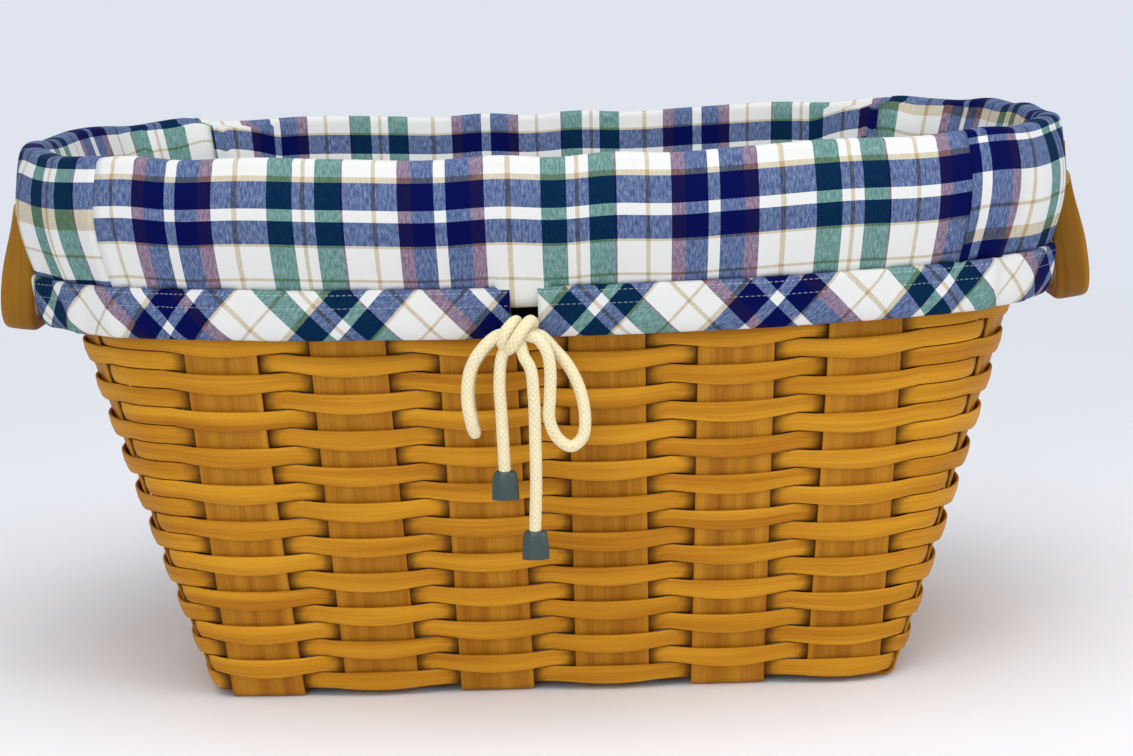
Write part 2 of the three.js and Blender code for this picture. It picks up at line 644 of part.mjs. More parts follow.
// The end panels have a slit at each ear, through which the handle's leg comes out
function slit(sign) {
  const width = LEG_OUTER - EAR_INNER + 2 * (RIVET_HEAD + 4 * GAP);
  const middle = (LEG_OUTER + EAR_INNER) / 2;
  const top = PIVOT_HEIGHT + EAR_TOP + 2 * GAP;
  const foot = PIVOT_HEIGHT - HANDLE_TAPER / 2;
  const depth = 2 * (HEM_OFF_ENDS + HEM_THICKNESS + FLAP_FULLNESS);
  const cut = new THREE.BoxGeometry(depth, width, top - foot);
  const x = endWallX(-LEG_INNER, PIVOT_HEIGHT) + BAND_FACE + depth / 2;
  return toSolid(cut.translate(x, sign * middle, (top + foot) / 2));
}

const plainEnd = toSolid(linerPanel(frontRight, endRight));
const endPanel = plainEnd.subtract(slit(1)).subtract(slit(-1));
add('liner_right_end', fromSolid(endPanel), CLOTH_COLOR, 0.95);
add('liner_left_end', fromSolid(endPanel).rotateZ(Math.PI), CLOTH_COLOR, 0.95);

// Hem: a flat tube of cloth that the drawstring runs in, open for the bow
function hemOutline(i, inset) {
  const index = i % RING_COUNT;
  const rim = RIM_RING[index];
  const out = hemOffset(rim) + gather(index);
  const top = place(HEM_TOP_RING[index], 0, out);
  const foot = place(HEM_FOOT_RING[index], 0, out);
  const x = HEM_THICKNESS / 2 - inset;
  const high = inset / HEM_HEIGHT;
  const soft = (HEM_THICKNESS / HEM_HEIGHT) * 0.5;
  const low = high + soft;
  const points = [[x, low], [x, 1 - low], [0, 1 - high], [-x, 1 - low], [-x, low], [0, high]];
  return points.map(([u, v]) => foot.clone().lerp(top, v).addScaledVector(rim.out, u));
}

// The frames round the ring that lie left and right of the hem's opening, and the cut across it
const gapLeft = HEM_GAP_CENTRE - HEM_GAP_WIDTH / 2;
const gapRight = HEM_GAP_CENTRE + HEM_GAP_WIDTH / 2;
const frontRing = RIM_RING.slice(0, RING_PER_WALL[0] - 2);
const rightOfGap = frontRing.findIndex((frame) => frame.origin.x > gapRight + GAP);
const leftOfGap = frontRing.findLastIndex((frame) => frame.origin.x < gapLeft - GAP);

// Outlines round the ring from the right of the opening to the left of it, cut square at both sides
function roundTheHem(outlineAt) {
  const outlines = [];
  for (let i = rightOfGap; i <= leftOfGap + RING_COUNT; i += 1) outlines.push(outlineAt(i));
  const cutAt = (inside, outside, x) => {
    const a = outlineAt(inside);
    const b = outlineAt(outside);
    return a.map((point, j) => point.clone().lerp(b[j], (x - point.x) / (b[j].x - point.x)));
  };
  outlines.unshift(cutAt(rightOfGap, rightOfGap - 1 + RING_COUNT, gapRight));
  outlines.push(cutAt(leftOfGap, leftOfGap + 1, gapLeft));
  return outlines;
}

const hemOuter = roundTheHem((i) => hemOutline(i, 0));
const hemInner = roundTheHem((i) => hemOutline(i, CLOTH));
add('drawstring_hem', sheet(hemOuter, hemInner, { ringAcross: true }), HEM_COLOR, 0.95);

function middleOf(outline) {
  const sum = outline.reduce((total, point) => total.add(point), new THREE.Vector3());
  return sum.divideScalar(outline.length);
}

function cordOutline(i) {
  const { out } = RIM_RING[i % RING_COUNT];
  const centre = middleOf(hemOutline(i, 0));
  const radius = CORD_DIAMETER / 2;
  return Array.from({ length: CORD_SIDES }, (_, j) => {
    const angle = (2 * Math.PI * j) / CORD_SIDES;
    const point = centre.clone().addScaledVector(out, radius * Math.cos(angle));
    return point.addScaledVector(UP, radius * Math.sin(angle));
  });
}

const drawstring = roundTheHem(cordOutline);
add('drawstring', loft(drawstring), CORD_COLOR, 0.9);

// Bow: the knot with its two leads from the hem, two loops, two tails and their end pieces
const leadRight = middleOf(drawstring[0]);
const leadLeft = middleOf(drawstring[drawstring.length - 1]);
const hemFace = Math.min(...hemOuter[0].map((point) => point.y));
const KNOT = new THREE.Vector3(
  HEM_GAP_CENTRE + KNOT_OFFSET[0],
  hemFace - GAP - KNOT_SIZE[1] / 2,
  HEM_TOP - HEM_HEIGHT + KNOT_OFFSET[1],
);

const fromKnot = (points) => points.map(([x, y, z]) => new THREE.Vector3(x, y, z).add(KNOT));

function knotBody(growth) {
  const [x, y, z] = KNOT_SIZE.map((size) => size / 2 + growth);
  const ball = new THREE.SphereGeometry(1, 12, 8).scale(x, y, z).translate(KNOT.x, KNOT.y, KNOT.z);
  return toSolid(ball);
}

const leadPath = (from, sign) => [
  from.clone().add(new THREE.Vector3(-sign * GAP, 0, 0)),
  from.clone().add(new THREE.Vector3(-sign * 2, 0, 0)),
  from.clone().lerp(KNOT, 0.6).add(new THREE.Vector3(-sign * 1.2, -1, 2)),
  KNOT.clone().add(new THREE.Vector3(sign * 1.5, 1, 0)),
];
const rightLead = toSolid(cordAlong(leadPath(leadRight, 1), 6));
const leftLead = toSolid(cordAlong(leadPath(leadLeft, -1), 6));
add('bow_knot', fromSolid(knotBody(0).add(rightLead).add(leftLead)), CORD_COLOR, 0.9);

const KNOT_SEAT = knotBody(GAP);

function bowPiece(name, points, steps) {
  const piece = toSolid(cordAlong(fromKnot(points), steps)).subtract(KNOT_SEAT);
  add(name, fromSolid(piece), CORD_COLOR, 0.9);
}

// Cord routes in the order that the cord runs, measured from the middle of the knot
const LOOP_LEFT = [
  [-3, -2, 0], [-10, -3.6, 0.5], [-18.2, -5, -5.8], [-24.3, -5.2, -16], [-26.2, -4.8, -29.7],
  [-24.6, -3.8, -42.5], [-23.3, 0, -47.5], [-24.4, 3.8, -42.5], [-25.8, 4, -29.7], [-23.5, 3.9, -16],
  [-17, 3.6, -6.5], [-10, 3.4, -0.5], [-3, 2, 0],
];
const LOOP_RIGHT = [
  [3, -2, 0], [9, -4.2, -2], [13, -5.2, -8.5], [14.2, -5.5, -17.2], [13.6, -5, -30],
  [13, -4.2, -41.3], [16.8, -3, -50.8], [23, -2, -55], [28.5, -1, -51.2], [30.2, 0, -41.9],
  [27.8, 1.5, -27], [22.3, 2.6, -15.5], [16.2, 3.4, -8], [10, 3.4, -1.5], [3, 2, 0],
];
const TAIL_LEFT = [
  [-3, -1, -2], [-8.4, -2.5, -9], [-10.4, -3, -21.9], [-10, -3, -39.6], [-9.4, -3, -66.3],
];
const TAIL_RIGHT = [
  [0, -2, -2], [1.6, -5, -9.5], [4.8, -6, -16], [5.9, -5.6, -29.8], [5.9, -5, -50],
  [5.5, -5, -73.2], [4.3, -5, -95.8],
];
bowPiece('bow_loop_left', LOOP_LEFT, 20);
bowPiece('bow_loop_right', LOOP_RIGHT, 22);
bowPiece('bow_tail_left', TAIL_LEFT, 8);
bowPiece('bow_tail_right', TAIL_RIGHT, 10);

// A moulded cord end: wider at the foot, with round shoulders
function cordEnd(tail) {
  const foot = fromKnot(tail).pop();
  const half = CORD_END_WIDTH / 2;
  const neck = CORD_DIAMETER / 2 + 1;
  const outline = new THREE.Shape();
  outline.moveTo(-half, -CORD_END_HEIGHT);
  outline.lineTo(half, -CORD_END_HEIGHT);
  outline.lineTo(half * 0.94, -CORD_END_HEIGHT * 0.4);
  outline.quadraticCurveTo(half * 0.85, 0, neck, 0);
  outline.lineTo(-neck, 0);
  outline.quadraticCurveTo(-half * 0.85, 0, -half * 0.94, -CORD_END_HEIGHT * 0.4);
  const depth = CORD_END_THICKNESS;
  const body = new THREE.ExtrudeGeometry(outline, { depth, curveSegments: 4, bevelEnabled: false });
  body.translate(0, 0, -depth / 2).rotateX(Math.PI / 2);
  return body.translate(foot.x, foot.y, foot.z - GAP);
}

add('cord_end_left', cordEnd(TAIL_LEFT), CORD_END_COLOR, 0.45);
add('cord_end_right', cordEnd(TAIL_RIGHT), CORD_END_COLOR, 0.45);

export default basket;
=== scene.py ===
"""Lined laundry basket: woven splints, a plaid liner, a cord bow and two swinging handles."""

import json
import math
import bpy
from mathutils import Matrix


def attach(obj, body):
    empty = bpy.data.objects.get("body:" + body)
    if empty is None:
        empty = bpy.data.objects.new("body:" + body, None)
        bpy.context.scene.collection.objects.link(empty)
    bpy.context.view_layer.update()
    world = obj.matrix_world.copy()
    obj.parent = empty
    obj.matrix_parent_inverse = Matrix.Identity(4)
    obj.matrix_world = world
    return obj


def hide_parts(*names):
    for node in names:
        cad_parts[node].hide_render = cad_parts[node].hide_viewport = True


bl_info = {
    "name": "Lined Laundry Basket",
    "version": (1, 0, 0),
    "blender": (4, 5, 0),
    "location": "3D View > Sidebar > Basket",
    "description": "Dresses a splint basket with wood, plaid cloth, cord and studio light",
    "category": "Add Mesh",
}

from collections import namedtuple

import bmesh
import bpy
from bpy.props import FloatProperty, IntProperty, PointerProperty, StringProperty
from mathutils import Matrix, Vector

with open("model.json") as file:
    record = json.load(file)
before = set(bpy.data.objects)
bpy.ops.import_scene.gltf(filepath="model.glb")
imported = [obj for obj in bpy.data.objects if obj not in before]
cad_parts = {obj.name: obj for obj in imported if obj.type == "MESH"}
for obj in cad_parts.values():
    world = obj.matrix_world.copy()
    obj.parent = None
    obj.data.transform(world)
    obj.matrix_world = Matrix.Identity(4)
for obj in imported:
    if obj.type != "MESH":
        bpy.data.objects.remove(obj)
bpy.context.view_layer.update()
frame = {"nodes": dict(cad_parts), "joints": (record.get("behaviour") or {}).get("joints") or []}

UP = Vector((0, 0, 1))
MM = 0.001
BASKET = "basket"


def length(name, description, millimetres):
    """A size that a user may change, given in millimetres and kept in metres."""
    return FloatProperty(
        name=name, description=description, default=millimetres * MM, unit="LENGTH", precision=4
    )


def colour(name, description, value):
    """A colour that a user may change, as an sRGB hex value."""
    return StringProperty(name=name, description=description, default=value)


class WallSizes(bpy.types.PropertyGroup):
    """Shape of the wall's middle surface and of the splints that stand in it."""

    base_length: length("Base length", "Length of the wall's middle surface on the floor", 354)
    base_width: length("Base width", "Width of the wall's middle surface on the floor", 222)
    rim_length: length("Rim length", "Length of the wall's middle surface at the rim", 543)
    rim_width: length("Rim width", "Width of the wall's middle surface at the rim", 349)
    height: length("Height", "Floor to the top of the rim bands", 286.9)
    band_foot: length("Band foot", "Floor to the lower edge of the rim bands", 239.9)
    sag: length("Rim sag", "Dip of the rim at the middle of the long sides", 5)
    belly: length("Belly", "How far the walls bow out at half height", 6)
    base_squareness: FloatProperty(
        name="Base squareness", description="Power of the base's superellipse", default=16
    )
    rim_squareness: FloatProperty(
        name="Rim squareness", description="Power of the rim's superellipse", default=3
    )
    cross_splints: IntProperty(
        name="Cross splints", description="Upright splints in each long side", default=6
    )
    long_splints: IntProperty(
        name="Long splints", description="Upright splints in each end", default=4
    )
    splint_width: length("Splint width", "Width of an upright splint", 38.1)
    splint_thickness: length("Splint thickness", "Thickness of an upright splint", 2)
    corner_space: length("Corner space", "Outermost splints to the ends of the base", 8)
    fan: length("Fan", "Growth of the cross splints' spacing from base to rim", 5.5)
    end_fan: length("End fan", "Growth of the long splints' spacing from base to rim", 7)
    foot_bend: length("Foot bend", "Radius where a splint turns up the wall", 3.6)
    layer_gap: length("Layer gap", "Between crossing splints in the base", 0.3)


class WeaveSizes(bpy.types.PropertyGroup):
    """The rows of thin splint round the wall and the two rim bands."""

    rows: IntProperty(name="Rows", description="Rows of weaving", default=24)
    first_row: length("First row", "Floor to the lowest row", 4.7)
    pitch: length("Pitch", "From one row to the next", 9.8)
    weaver_height: length("Weaver height", "Width of the thin splint", 9.4)
    weaver_thickness: length("Weaver thickness", "Thickness of the thin splint", 1.7)
    wave: length("Wave", "How far a weaver swings out of the wall over a splint", 3.5)
    swell: length("Swell", "How much taller a weaver shows where it passes a splint", 2.4)
    dip: length("Dip", "How far a weaver drops where it passes a splint", 1.8)
    # painted shade: how far the shade painted on a weaver reaches beside a splint that it goes
    # behind
    painted_shade: length("Recess", "Stain beside a splint that a weaver goes behind", 6)
    band_thickness: length("Band thickness", "Thickness of a rim band", 2.8)
    band_offset: length("Band offset", "Middle of a rim band from the wall's middle", 2.7)


class LinerSizes(bpy.types.PropertyGroup):
    """The cloth inside the basket, its flap over the rim and the hem for the cord."""

    cloth: length("Cloth", "Thickness of the cotton", 0.9)
    inside: length("Inside", "Liner from the wall's middle surface", 6.3)
    shoulder: length("Shoulder", "Flap from the wall's middle surface at the rim", 5.4)
    flap_drop: length("Flap drop", "Rim to the seam of the hem", 62.4)
    fullness: length("Fullness", "How far the hanging flap swells out", 7)
    puff: length("Puff", "How far the ends puff out beside the handles", 7.5)
    gathers: length("Gathers", "Depth of the gathers round the corners", 2.1)
    hem_height: length("Hem height", "Height of the cord's casing", 25.6)
    hem_thickness: length("Hem thickness", "Thickness of the casing round the cord", 9.2)
    hem_off_sides: length("Hem off sides", "Casing to the weave along the sides", 2.6)
    hem_off_ends: length("Hem off ends", "Casing to the weave at the ends", 5)
    weave_face: length("Weave face", "Outer face of the weave from the wall's middle", 3)
    opening_centre: length("Opening centre", "Middle of the casing's opening along X", -7.7)
    opening_width: length("Opening width", "Width of the casing's opening", 13.5)
    tab: length("Tab", "How far the flap hangs down behind the opening", 9.7)
    seam_share: FloatProperty(
        name="Seam share", description="Where the seams lie on the way round a corner", default=0.38
    )


class CordSizes(bpy.types.PropertyGroup):
    """The drawstring, its bow and the moulded ends."""

    diameter: length("Cord diameter", "Thickness of the braided cord", 6)
    strands: IntProperty(
        name="Strands", description="Strands round the braid, an even number", default=12
    )
    lay: length("Lay", "Length of one strand's crossing along the cord", 3)
    end_width: length("End width", "Width of a moulded cord end at its foot", 13.2)
    end_height: length("End height", "Height of a moulded cord end", 14)
    end_thickness: length("End thickness", "Thickness of a moulded cord end", 9)


class HandleSizes(bpy.types.PropertyGroup):
    """A bentwood handle, hanging from its two rivets."""

    span: length("Span", "Over the outer faces of the legs", 132)
    drop: length("Drop", "Pivot to the underside of the grip", 67)
    thickness: length("Thickness", "Thickness of the bent strip", 8)
    bend: length("Bend", "Outer radius of the two bends", 26)
    end_width: length("End width", "Width at the pivot", 10.5)
    grip_width: length("Grip width", "Width at the grip", 17.4)
    taper: length("Taper", "Length over which the width grows", 38)
    rest_tilt: FloatProperty(
        name="Rest tilt",
        description="How far a hanging handle leans out",
        default=math.radians(8),
        subtype="ANGLE",
    )


class Finishes(bpy.types.PropertyGroup):
    """Colours of the wood, the yarns, the cord and the studio, with painted shade in the uprights'
    darker maple and in one very dark yarn.
    """

    maple_pale: colour("Pale maple", "Light grain of the stained splints", "#D89A24")
    maple_deep: colour("Deep maple", "Dark grain of the stained splints", "#A0600C")
    # the uprights' maple is darker than the weavers': painted shade, for the shadow of the rows
    # over them
    upright_pale: colour("Pale upright", "Light grain of the upright splints", "#C48926")
    upright_deep: colour("Deep upright", "Dark grain of the upright splints", "#94560A")
    handle_pale: colour("Pale handle", "Light grain of the handles", "#A8751E")
    handle_deep: colour("Deep handle", "Dark grain of the handles", "#784D12")
    yarn_white: colour("White yarn", "Ground of the plaid", "#DDDDDA")
    yarn_navy: colour("Navy yarn", "Dark pairs of the plaid", "#000747")
    yarn_green: colour("Green yarn", "Green pairs of the plaid", "#07443D")
    yarn_maroon: colour("Maroon yarn", "Edges of the navy pairs", "#361639")
    yarn_tan: colour("Tan yarn", "Thin lines of the plaid", "#AE9A74")
    # painted shadow: a very dark yarn laid on the casing's back inside the opening, where there is
    # only deep shade
    yarn_painted_shadow: colour("Black yarn", "Facing behind the casing's opening", "#050506")
    cord_cotton: colour("Cord", "Natural cotton cord", "#F0E2B8")
    cord_end: colour("Cord end", "Moulded cord ends", "#2A3B38")
    brass: colour("Brass", "Rivets of the handles", "#C79A4B")
    floor: colour("Floor", "Pale studio floor near the basket", "#F3F3F5")
    backdrop: colour("Backdrop", "Pale studio floor far from the basket", "#DFE4EE")


class BasketSettings(bpy.types.PropertyGroup):
    """Everything that a user may change on the basket."""

    wall: PointerProperty(type=WallSizes)
    weave: PointerProperty(type=WeaveSizes)
    liner: PointerProperty(type=LinerSizes)
    cord: PointerProperty(type=CordSizes)
    handle: PointerProperty(type=HandleSizes)
    finish: PointerProperty(type=Finishes)


# Wall shape

Side = namedtuple("Side", "along out is_long splints")
Place = namedtuple("Place", "point along out")
Upright = namedtuple("Upright", "foot top ends_side")


def outward(along):
    return Vector((along.y, -along.x, 0))


class WallShape:
    """The wall's middle surface, as a closed row of uprights with smooth spans between them."""

    def __init__(self, sizes):
        self.sizes = sizes
        self.base_top = 2 * (sizes.splint_thickness + sizes.layer_gap)
        self.uprights = []
        self.cache = {}
        sides = (
            Side(Vector((1, 0, 0)), Vector((0, -1, 0)), True, sizes.cross_splints),
            Side(Vector((0, 1, 0)), Vector((1, 0, 0)), False, sizes.long_splints),
            Side(Vector((-1, 0, 0)), Vector((0, 1, 0)), True, sizes.cross_splints),
            Side(Vector((0, -1, 0)), Vector((-1, 0, 0)), False, sizes.long_splints),
        )
        for side in sides:
            run = sizes.base_length if side.is_long else sizes.base_width
            pitch = (run - sizes.splint_width - 2 * sizes.corner_space) / (side.splints - 1)
            fan = sizes.fan if side.is_long else sizes.end_fan
            for index in range(side.splints):
                from_middle = index - (side.splints - 1) / 2
                foot = self.side_place(side, from_middle * pitch, False)
                top = self.side_place(side, from_middle * (pitch + fan), True)
                self.uprights.append(Upright(foot, top, index == side.splints - 1))
        self.count = len(self.uprights)

    def side_place(self, side, reach, at_rim):
        sizes = self.sizes
        run = sizes.rim_length if at_rim else sizes.base_length
        width = sizes.rim_width if at_rim else sizes.base_width
        power = sizes.rim_squareness if at_rim else sizes.base_squareness
        half, depth = (run / 2, width / 2) if side.is_long else (width / 2, run / 2)
        ratio = abs(reach) / half
        rest = 1 - ratio**power
        slope = -(depth / half) * ratio ** (power - 1) * rest ** (1 / power - 1)
        along = (side.along + side.out * math.copysign(slope, -reach)).normalized()
        corner = half * 2 ** (-1 / power)
        dips = at_rim and side.is_long
        sag = sizes.sag * max(0.0, 1 - (reach / corner) ** 2) if dips else 0.0
        point = side.along * reach + side.out * depth * rest ** (1 / power)
        point.z = sizes.height - sag if at_rim else 0.0
        return Place(point, along, outward(along))

    def upright_at(self, index, height):
        key = (index % self.count, round(height, 6))
        if key not in self.cache:
            upright = self.uprights[key[0]]
            share = height / self.sizes.height
            turn = min(1.0, height / self.sizes.band_foot)
            along = upright.foot.along.lerp(upright.top.along, turn).normalized()
            out = outward(along)
            bow = 4 * self.sizes.belly * share * (1 - share)
            point = upright.foot.point.lerp(upright.top.point, share) + out * bow
            self.cache[key] = Place(point, along, out)
        return self.cache[key]

    def at(self, height, phase, corner_pull=None):
        """Place at a height and a phase, which counts the uprights on the way round."""
        index = math.floor(phase)
        share = phase - index
        here = self.upright_at(index, height)
        there = self.upright_at(index + 1, height)
        if self.uprights[index % self.count].ends_side:
            peak = crossing(here, there)
            pull = corner_pull or 1 - 0.15 * height / self.sizes.height
            pulls = here.point.lerp(peak, pull), there.point.lerp(peak, pull)
        else:
            third = (there.point - here.point).length / 3
            pulls = here.point + here.along * third, there.point - there.along * third
        points = (here.point, *pulls, there.point)
        point = bezier(points, share)
        legs = [b - a for a, b in zip(points, points[1:])]
        along = legs[0] * (1 - share) ** 2 + legs[1] * 2 * share * (1 - share) + legs[2] * share**2
        along.z = 0
        along.normalize()
        return Place(point, along, outward(along))


def crossing(a, b):
    """Where the level line forwards from a meets the one backwards from b."""
    gap = b.point - a.point
    turn = a.along.x * b.along.y - a.along.y * b.along.x
    run = (gap.x * b.along.y - gap.y * b.along.x) / turn
    point = a.point + a.along * run
    point.z = (a.point.z + b.point.z) / 2
    return point


def bezier(points, share):
    rest = 1 - share
    weights = rest**3, 3 * rest**2 * share, 3 * rest * share**2, share**3
    return sum((p * w for p, w in zip(points, weights)), Vector((0, 0, 0)))


def spread(start, end, steps):
    return [start + (end - start) * i / steps for i in range(steps + 1)]


def smooth(share):
    share = min(1.0, max(0.0, share))
    return share * share * (3 - 2 * share)


def squared_off(value, power):
    """A sine or cosine raised to a power with its sign kept, which squares a circle off."""
    return math.copysign(abs(value) ** power, value)


def ripple(run, seed):
    """Uneven waves from -1 to 1 along a run in metres, as cloth gathers."""
    slow = math.sin(run / (31 * MM) + 1.7 * seed)
    quick = math.sin(run / (4.1 * MM) + 2.1 * slow + seed)
    fine = math.sin(run / (2.2 * MM) + 1.3 * slow + 2.3 * seed)
    return 0.72 * quick + 0.28 * fine


# Mesh making


def finished(bm, name, material, node, body=BASKET):
    """A smooth-shaded object of a bmesh, riding on a body in the place of a solid."""
    mesh = bpy.data.meshes.new(name)
    bm.to_mesh(mesh)
    bm.free()
    mesh.shade_smooth()
    mesh.materials.append(material)
    piece = bpy.data.objects.new(name, mesh)
    bpy.context.scene.collection.objects.link(piece)
    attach(piece, body)
    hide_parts(node)
    return piece


def thicken(piece, thickness, offset=0):
    modifier = piece.modifiers.new("cloth", "SOLIDIFY")
    modifier.thickness = thickness
    modifier.offset = offset


def laid_grid(points, uvs, ring=False, painted_shades=None):
    """A bmesh grid whose vertices are laid on rows of points, with a UV in metres for each point.
    In a ring, rows or columns end where they began and are merged. Points may carry a share of
    painted shade."""
    rows, columns = len(points) - 1, len(points[0]) - 1
    bm = bmesh.new()
    layer = bm.loops.layers.uv.new("laid")
    painted_shade = bm.verts.layers.float.new("painted_shade") if painted_shades else None
    bmesh.ops.create_grid(bm, x_segments=columns, y_segments=rows, size=1, calc_uvs=True)
    for face in bm.faces:
        for loop in face.loops:
            share = loop[layer].uv
            loop[layer].uv = uvs[round(share.y * rows)][round(share.x * columns)]
    for vert in bm.verts:
        row = round((vert.co.y + 1) / 2 * rows)
        column = round((vert.co.x + 1) / 2 * columns)
        vert.co = points[row][column]
        if painted_shades:
            vert[painted_shade] = painted_shades[row][column]
    if ring:
        bmesh.ops.remove_doubles(bm, verts=bm.verts, dist=0.001 * MM)
    return bm


def closed(bm):
    """Fills the open ends of a tube and turns its faces outwards."""
    bmesh.ops.holes_fill(bm, edges=[edge for edge in bm.edges if edge.is_boundary])
    face_outwards(bm)
    return bm


def face_outwards(bm):
    bmesh.ops.recalc_face_normals(bm, faces=bm.faces)


def run_lengths(points):
    """Distance from the first point to each point of a line."""
    lengths = [0.0]
    for a, b in zip(points, points[1:]):
        lengths.append(lengths[-1] + (b - a).length)
    return lengths


def band_outline(thickness, crown, edge):
    """Closed outline of a flat splint: shares up its width, and distances out of its middle."""
    half = thickness / 2
    low, high = edge * 0.5, 1 - edge * 0.5
    face = [(0, half * 0.35), (low * 0.3, half * 0.8), (low, half), (0.5, half + crown)]
    face += [(high, half), (1 - low * 0.3, half * 0.8), (1, half * 0.35)]
    back = [(share, -out if share != 0.5 else -half) for share, out in reversed(face)]
    return face + back + face[:1]


def catmull(points, step):
    """Points about one step apart on a smooth line through the given points."""
    ends = [points[0] * 2 - points[1], *points, points[-1] * 2 - points[-2]]
    line = []
    for before, a, b, after in zip(ends, ends[1:], ends[2:], ends[3:]):
        knots = [0.0]
        for p, q in ((before, a), (a, b), (b, after)):
            knots.append(knots[-1] + (q - p).length ** 0.5)
        gap = knots[2] - knots[1]
        first = (a - before) / (knots[1] - knots[0]) - (b - before) / (knots[2] - knots[0])
        last = (after - b) / (knots[3] - knots[2]) - (after - a) / (knots[3] - knots[1])
        pulls = (a, a + (b - a + first * gap) / 3, b - (b - a + last * gap) / 3, b)
        steps = max(2, round((b - a).length / step))
        line += [bezier(pulls, i / steps) for i in range(steps)]
    return line + [points[-1].copy()]


def carried_frames(line):
    """A side and a second side for each point of a line, carried along it without twist."""
    frames = []
    side = None
    for index, point in enumerate(line):
        ahead = line[min(index + 1, len(line) - 1)] - line[max(index - 1, 0)]
        ahead.normalize()
        if side is None:
            side = ahead.orthogonal().normalized()
        side = (side - ahead * side.dot(ahead)).normalized()
        frames.append((point, side, ahead.cross(side)))
    return frames


def braided_tube(line, cord, around=24):
    """A cord along a line: a tube whose skin rises and falls with the crossing strands."""
    runs = run_lengths(line)
    radius = cord.diameter / 2
    points, uvs = [], []
    for (point, side, other), run in zip(carried_frames(line), runs):
        ring, row = [], []
        for step in range(around + 1):
            turn = step / around
            angle = math.tau * turn
            climb = run / cord.lay
            left = abs(math.sin(math.pi * (cord.strands * turn / 2 + climb)))
            right = abs(math.sin(math.pi * (cord.strands * turn / 2 - climb)))
            reach = radius * (0.95 + 0.055 * max(left, right) * min(1, 0.45 + left * right))
            ring.append(point + side * math.cos(angle) * reach + other * math.sin(angle) * reach)
            row.append((run, turn * math.tau * radius))
        points.append(ring)
        uvs.append(row)
    return closed(laid_grid(points, uvs, ring=True))


# Materials


def linear(value, share=1.0):
    """An sRGB hex value, or a share of its light, as linear red, green, blue and alpha."""
    parts = [int(value[i : i + 2], 16) / 255 for i in (1, 3, 5)]
    bent = [c / 12.92 if c <= 0.04045 else ((c + 0.055) / 1.055) ** 2.4 for c in parts]
    return (*(c * share for c in bent), 1.0)


def new_material(name):
    material = bpy.data.materials.new(name)
    material.use_nodes = True
    material.node_tree.nodes.clear()
    return material, material.node_tree


def add_node(tree, kind, sockets=None, **settings):
    """Adds a node, sets its options and fills or links its inputs. A node that is given for an
    input is linked by its first output."""
    node = tree.nodes.new("ShaderNode" + kind)
    for key, value in settings.items():
        setattr(node, key, value)
    for key, value in (sockets or {}).items():
        if isinstance(value, bpy.types.Node):
            value = value.outputs[0]
        if isinstance(value, bpy.types.NodeSocket):
            tree.links.new(value, node.inputs[key])
        else:
            node.inputs[key].default_value = value
    return node


def surface(tree, **sockets):
    """The principled shader and the output, with sockets named by words joined with _."""
    named = {key.replace("_", " ").title().replace("Ior", "IOR"): v for key, v in sockets.items()}
    shader = add_node(tree, "BsdfPrincipled", named)
    add_node(tree, "OutputMaterial", {"Surface": shader})


def seen_rays(tree):
    """1 for the rays that show a background: straight to the camera, mirrored or passed through."""
    ray = add_node(tree, "LightPath").outputs
    seen = ray["Is Camera Ray"]
    for other in ("Is Glossy Ray", "Is Transmission Ray"):
        seen = add_node(tree, "Math", {0: seen, 1: ray[other]}, operation="MAXIMUM")
    return seen


def stained_maple(name, pale, deep, laid=True):
    """Maple splint, rived and stained honey: long fine streaks, slow bands of tone and short dark
    flecks along the grain, under a satin varnish. The grain follows the UV's first direction, and
    shade is painted dark where the mesh marks it, beside an upright that a weaver goes behind."""
    material, tree = new_material(name)
    if laid:
        coords = add_node(tree, "UVMap", uv_map="laid")
    else:
        coords = add_node(tree, "TexCoord").outputs["Object"]
    tones = []
    # length and width of one streak, band and fleck in millimetres
    for long_mm, wide_mm, detail in ((70, 1.1, 4), (160, 9, 2), (5, 0.7, 1)):
        scale = (1 / (long_mm * MM), 1 / (wide_mm * MM), 1 / (wide_mm * MM))
        stretch = add_node(tree, "Mapping", {"Vector": coords, "Scale": scale})
        noise = {"Vector": stretch, "Scale": 1.0, "Detail": detail}
        tones.append(add_node(tree, "TexNoise", noise))
    streak, band, fleck = tones
    mixed = add_node(tree, "Math", {0: streak, 1: 0.45, 2: band}, operation="MULTIPLY_ADD")
    tone = add_node(tree, "MapRange", {"Value": mixed, "From Min": 0.45, "From Max": 0.99})
    grain = add_node(tree, "MixRGB", {"Fac": tone, "Color1": linear(deep), "Color2": linear(pale)})
    dark = add_node(
        tree, "MapRange", {"Value": fleck, "From Min": 0.66, "From Max": 0.78, "To Max": 0.35}
    )
    flecked = add_node(tree, "MixRGB", {"Fac": dark, "Color1": grain, "Color2": linear(deep)})
    # painted shade: where the mesh marks it, the wood is mixed towards a fifth of its deep tone
    painted_shade = add_node(tree, "Attribute", attribute_name="painted_shade").outputs["Fac"]
    stained = add_node(
        tree, "MixRGB", {"Fac": painted_shade, "Color1": flecked, "Color2": linear(deep, 0.2)}
    )
    rough = add_node(tree, "MapRange", {"Value": streak, "To Min": 0.46, "To Max": 0.66})
    bump = add_node(tree, "Bump", {"Height": streak, "Strength": 0.35, "Distance": 0.25 * MM})
    surface(tree, base_color=stained, roughness=rough, normal=bump, specular_ior_level=0.12)
    return material


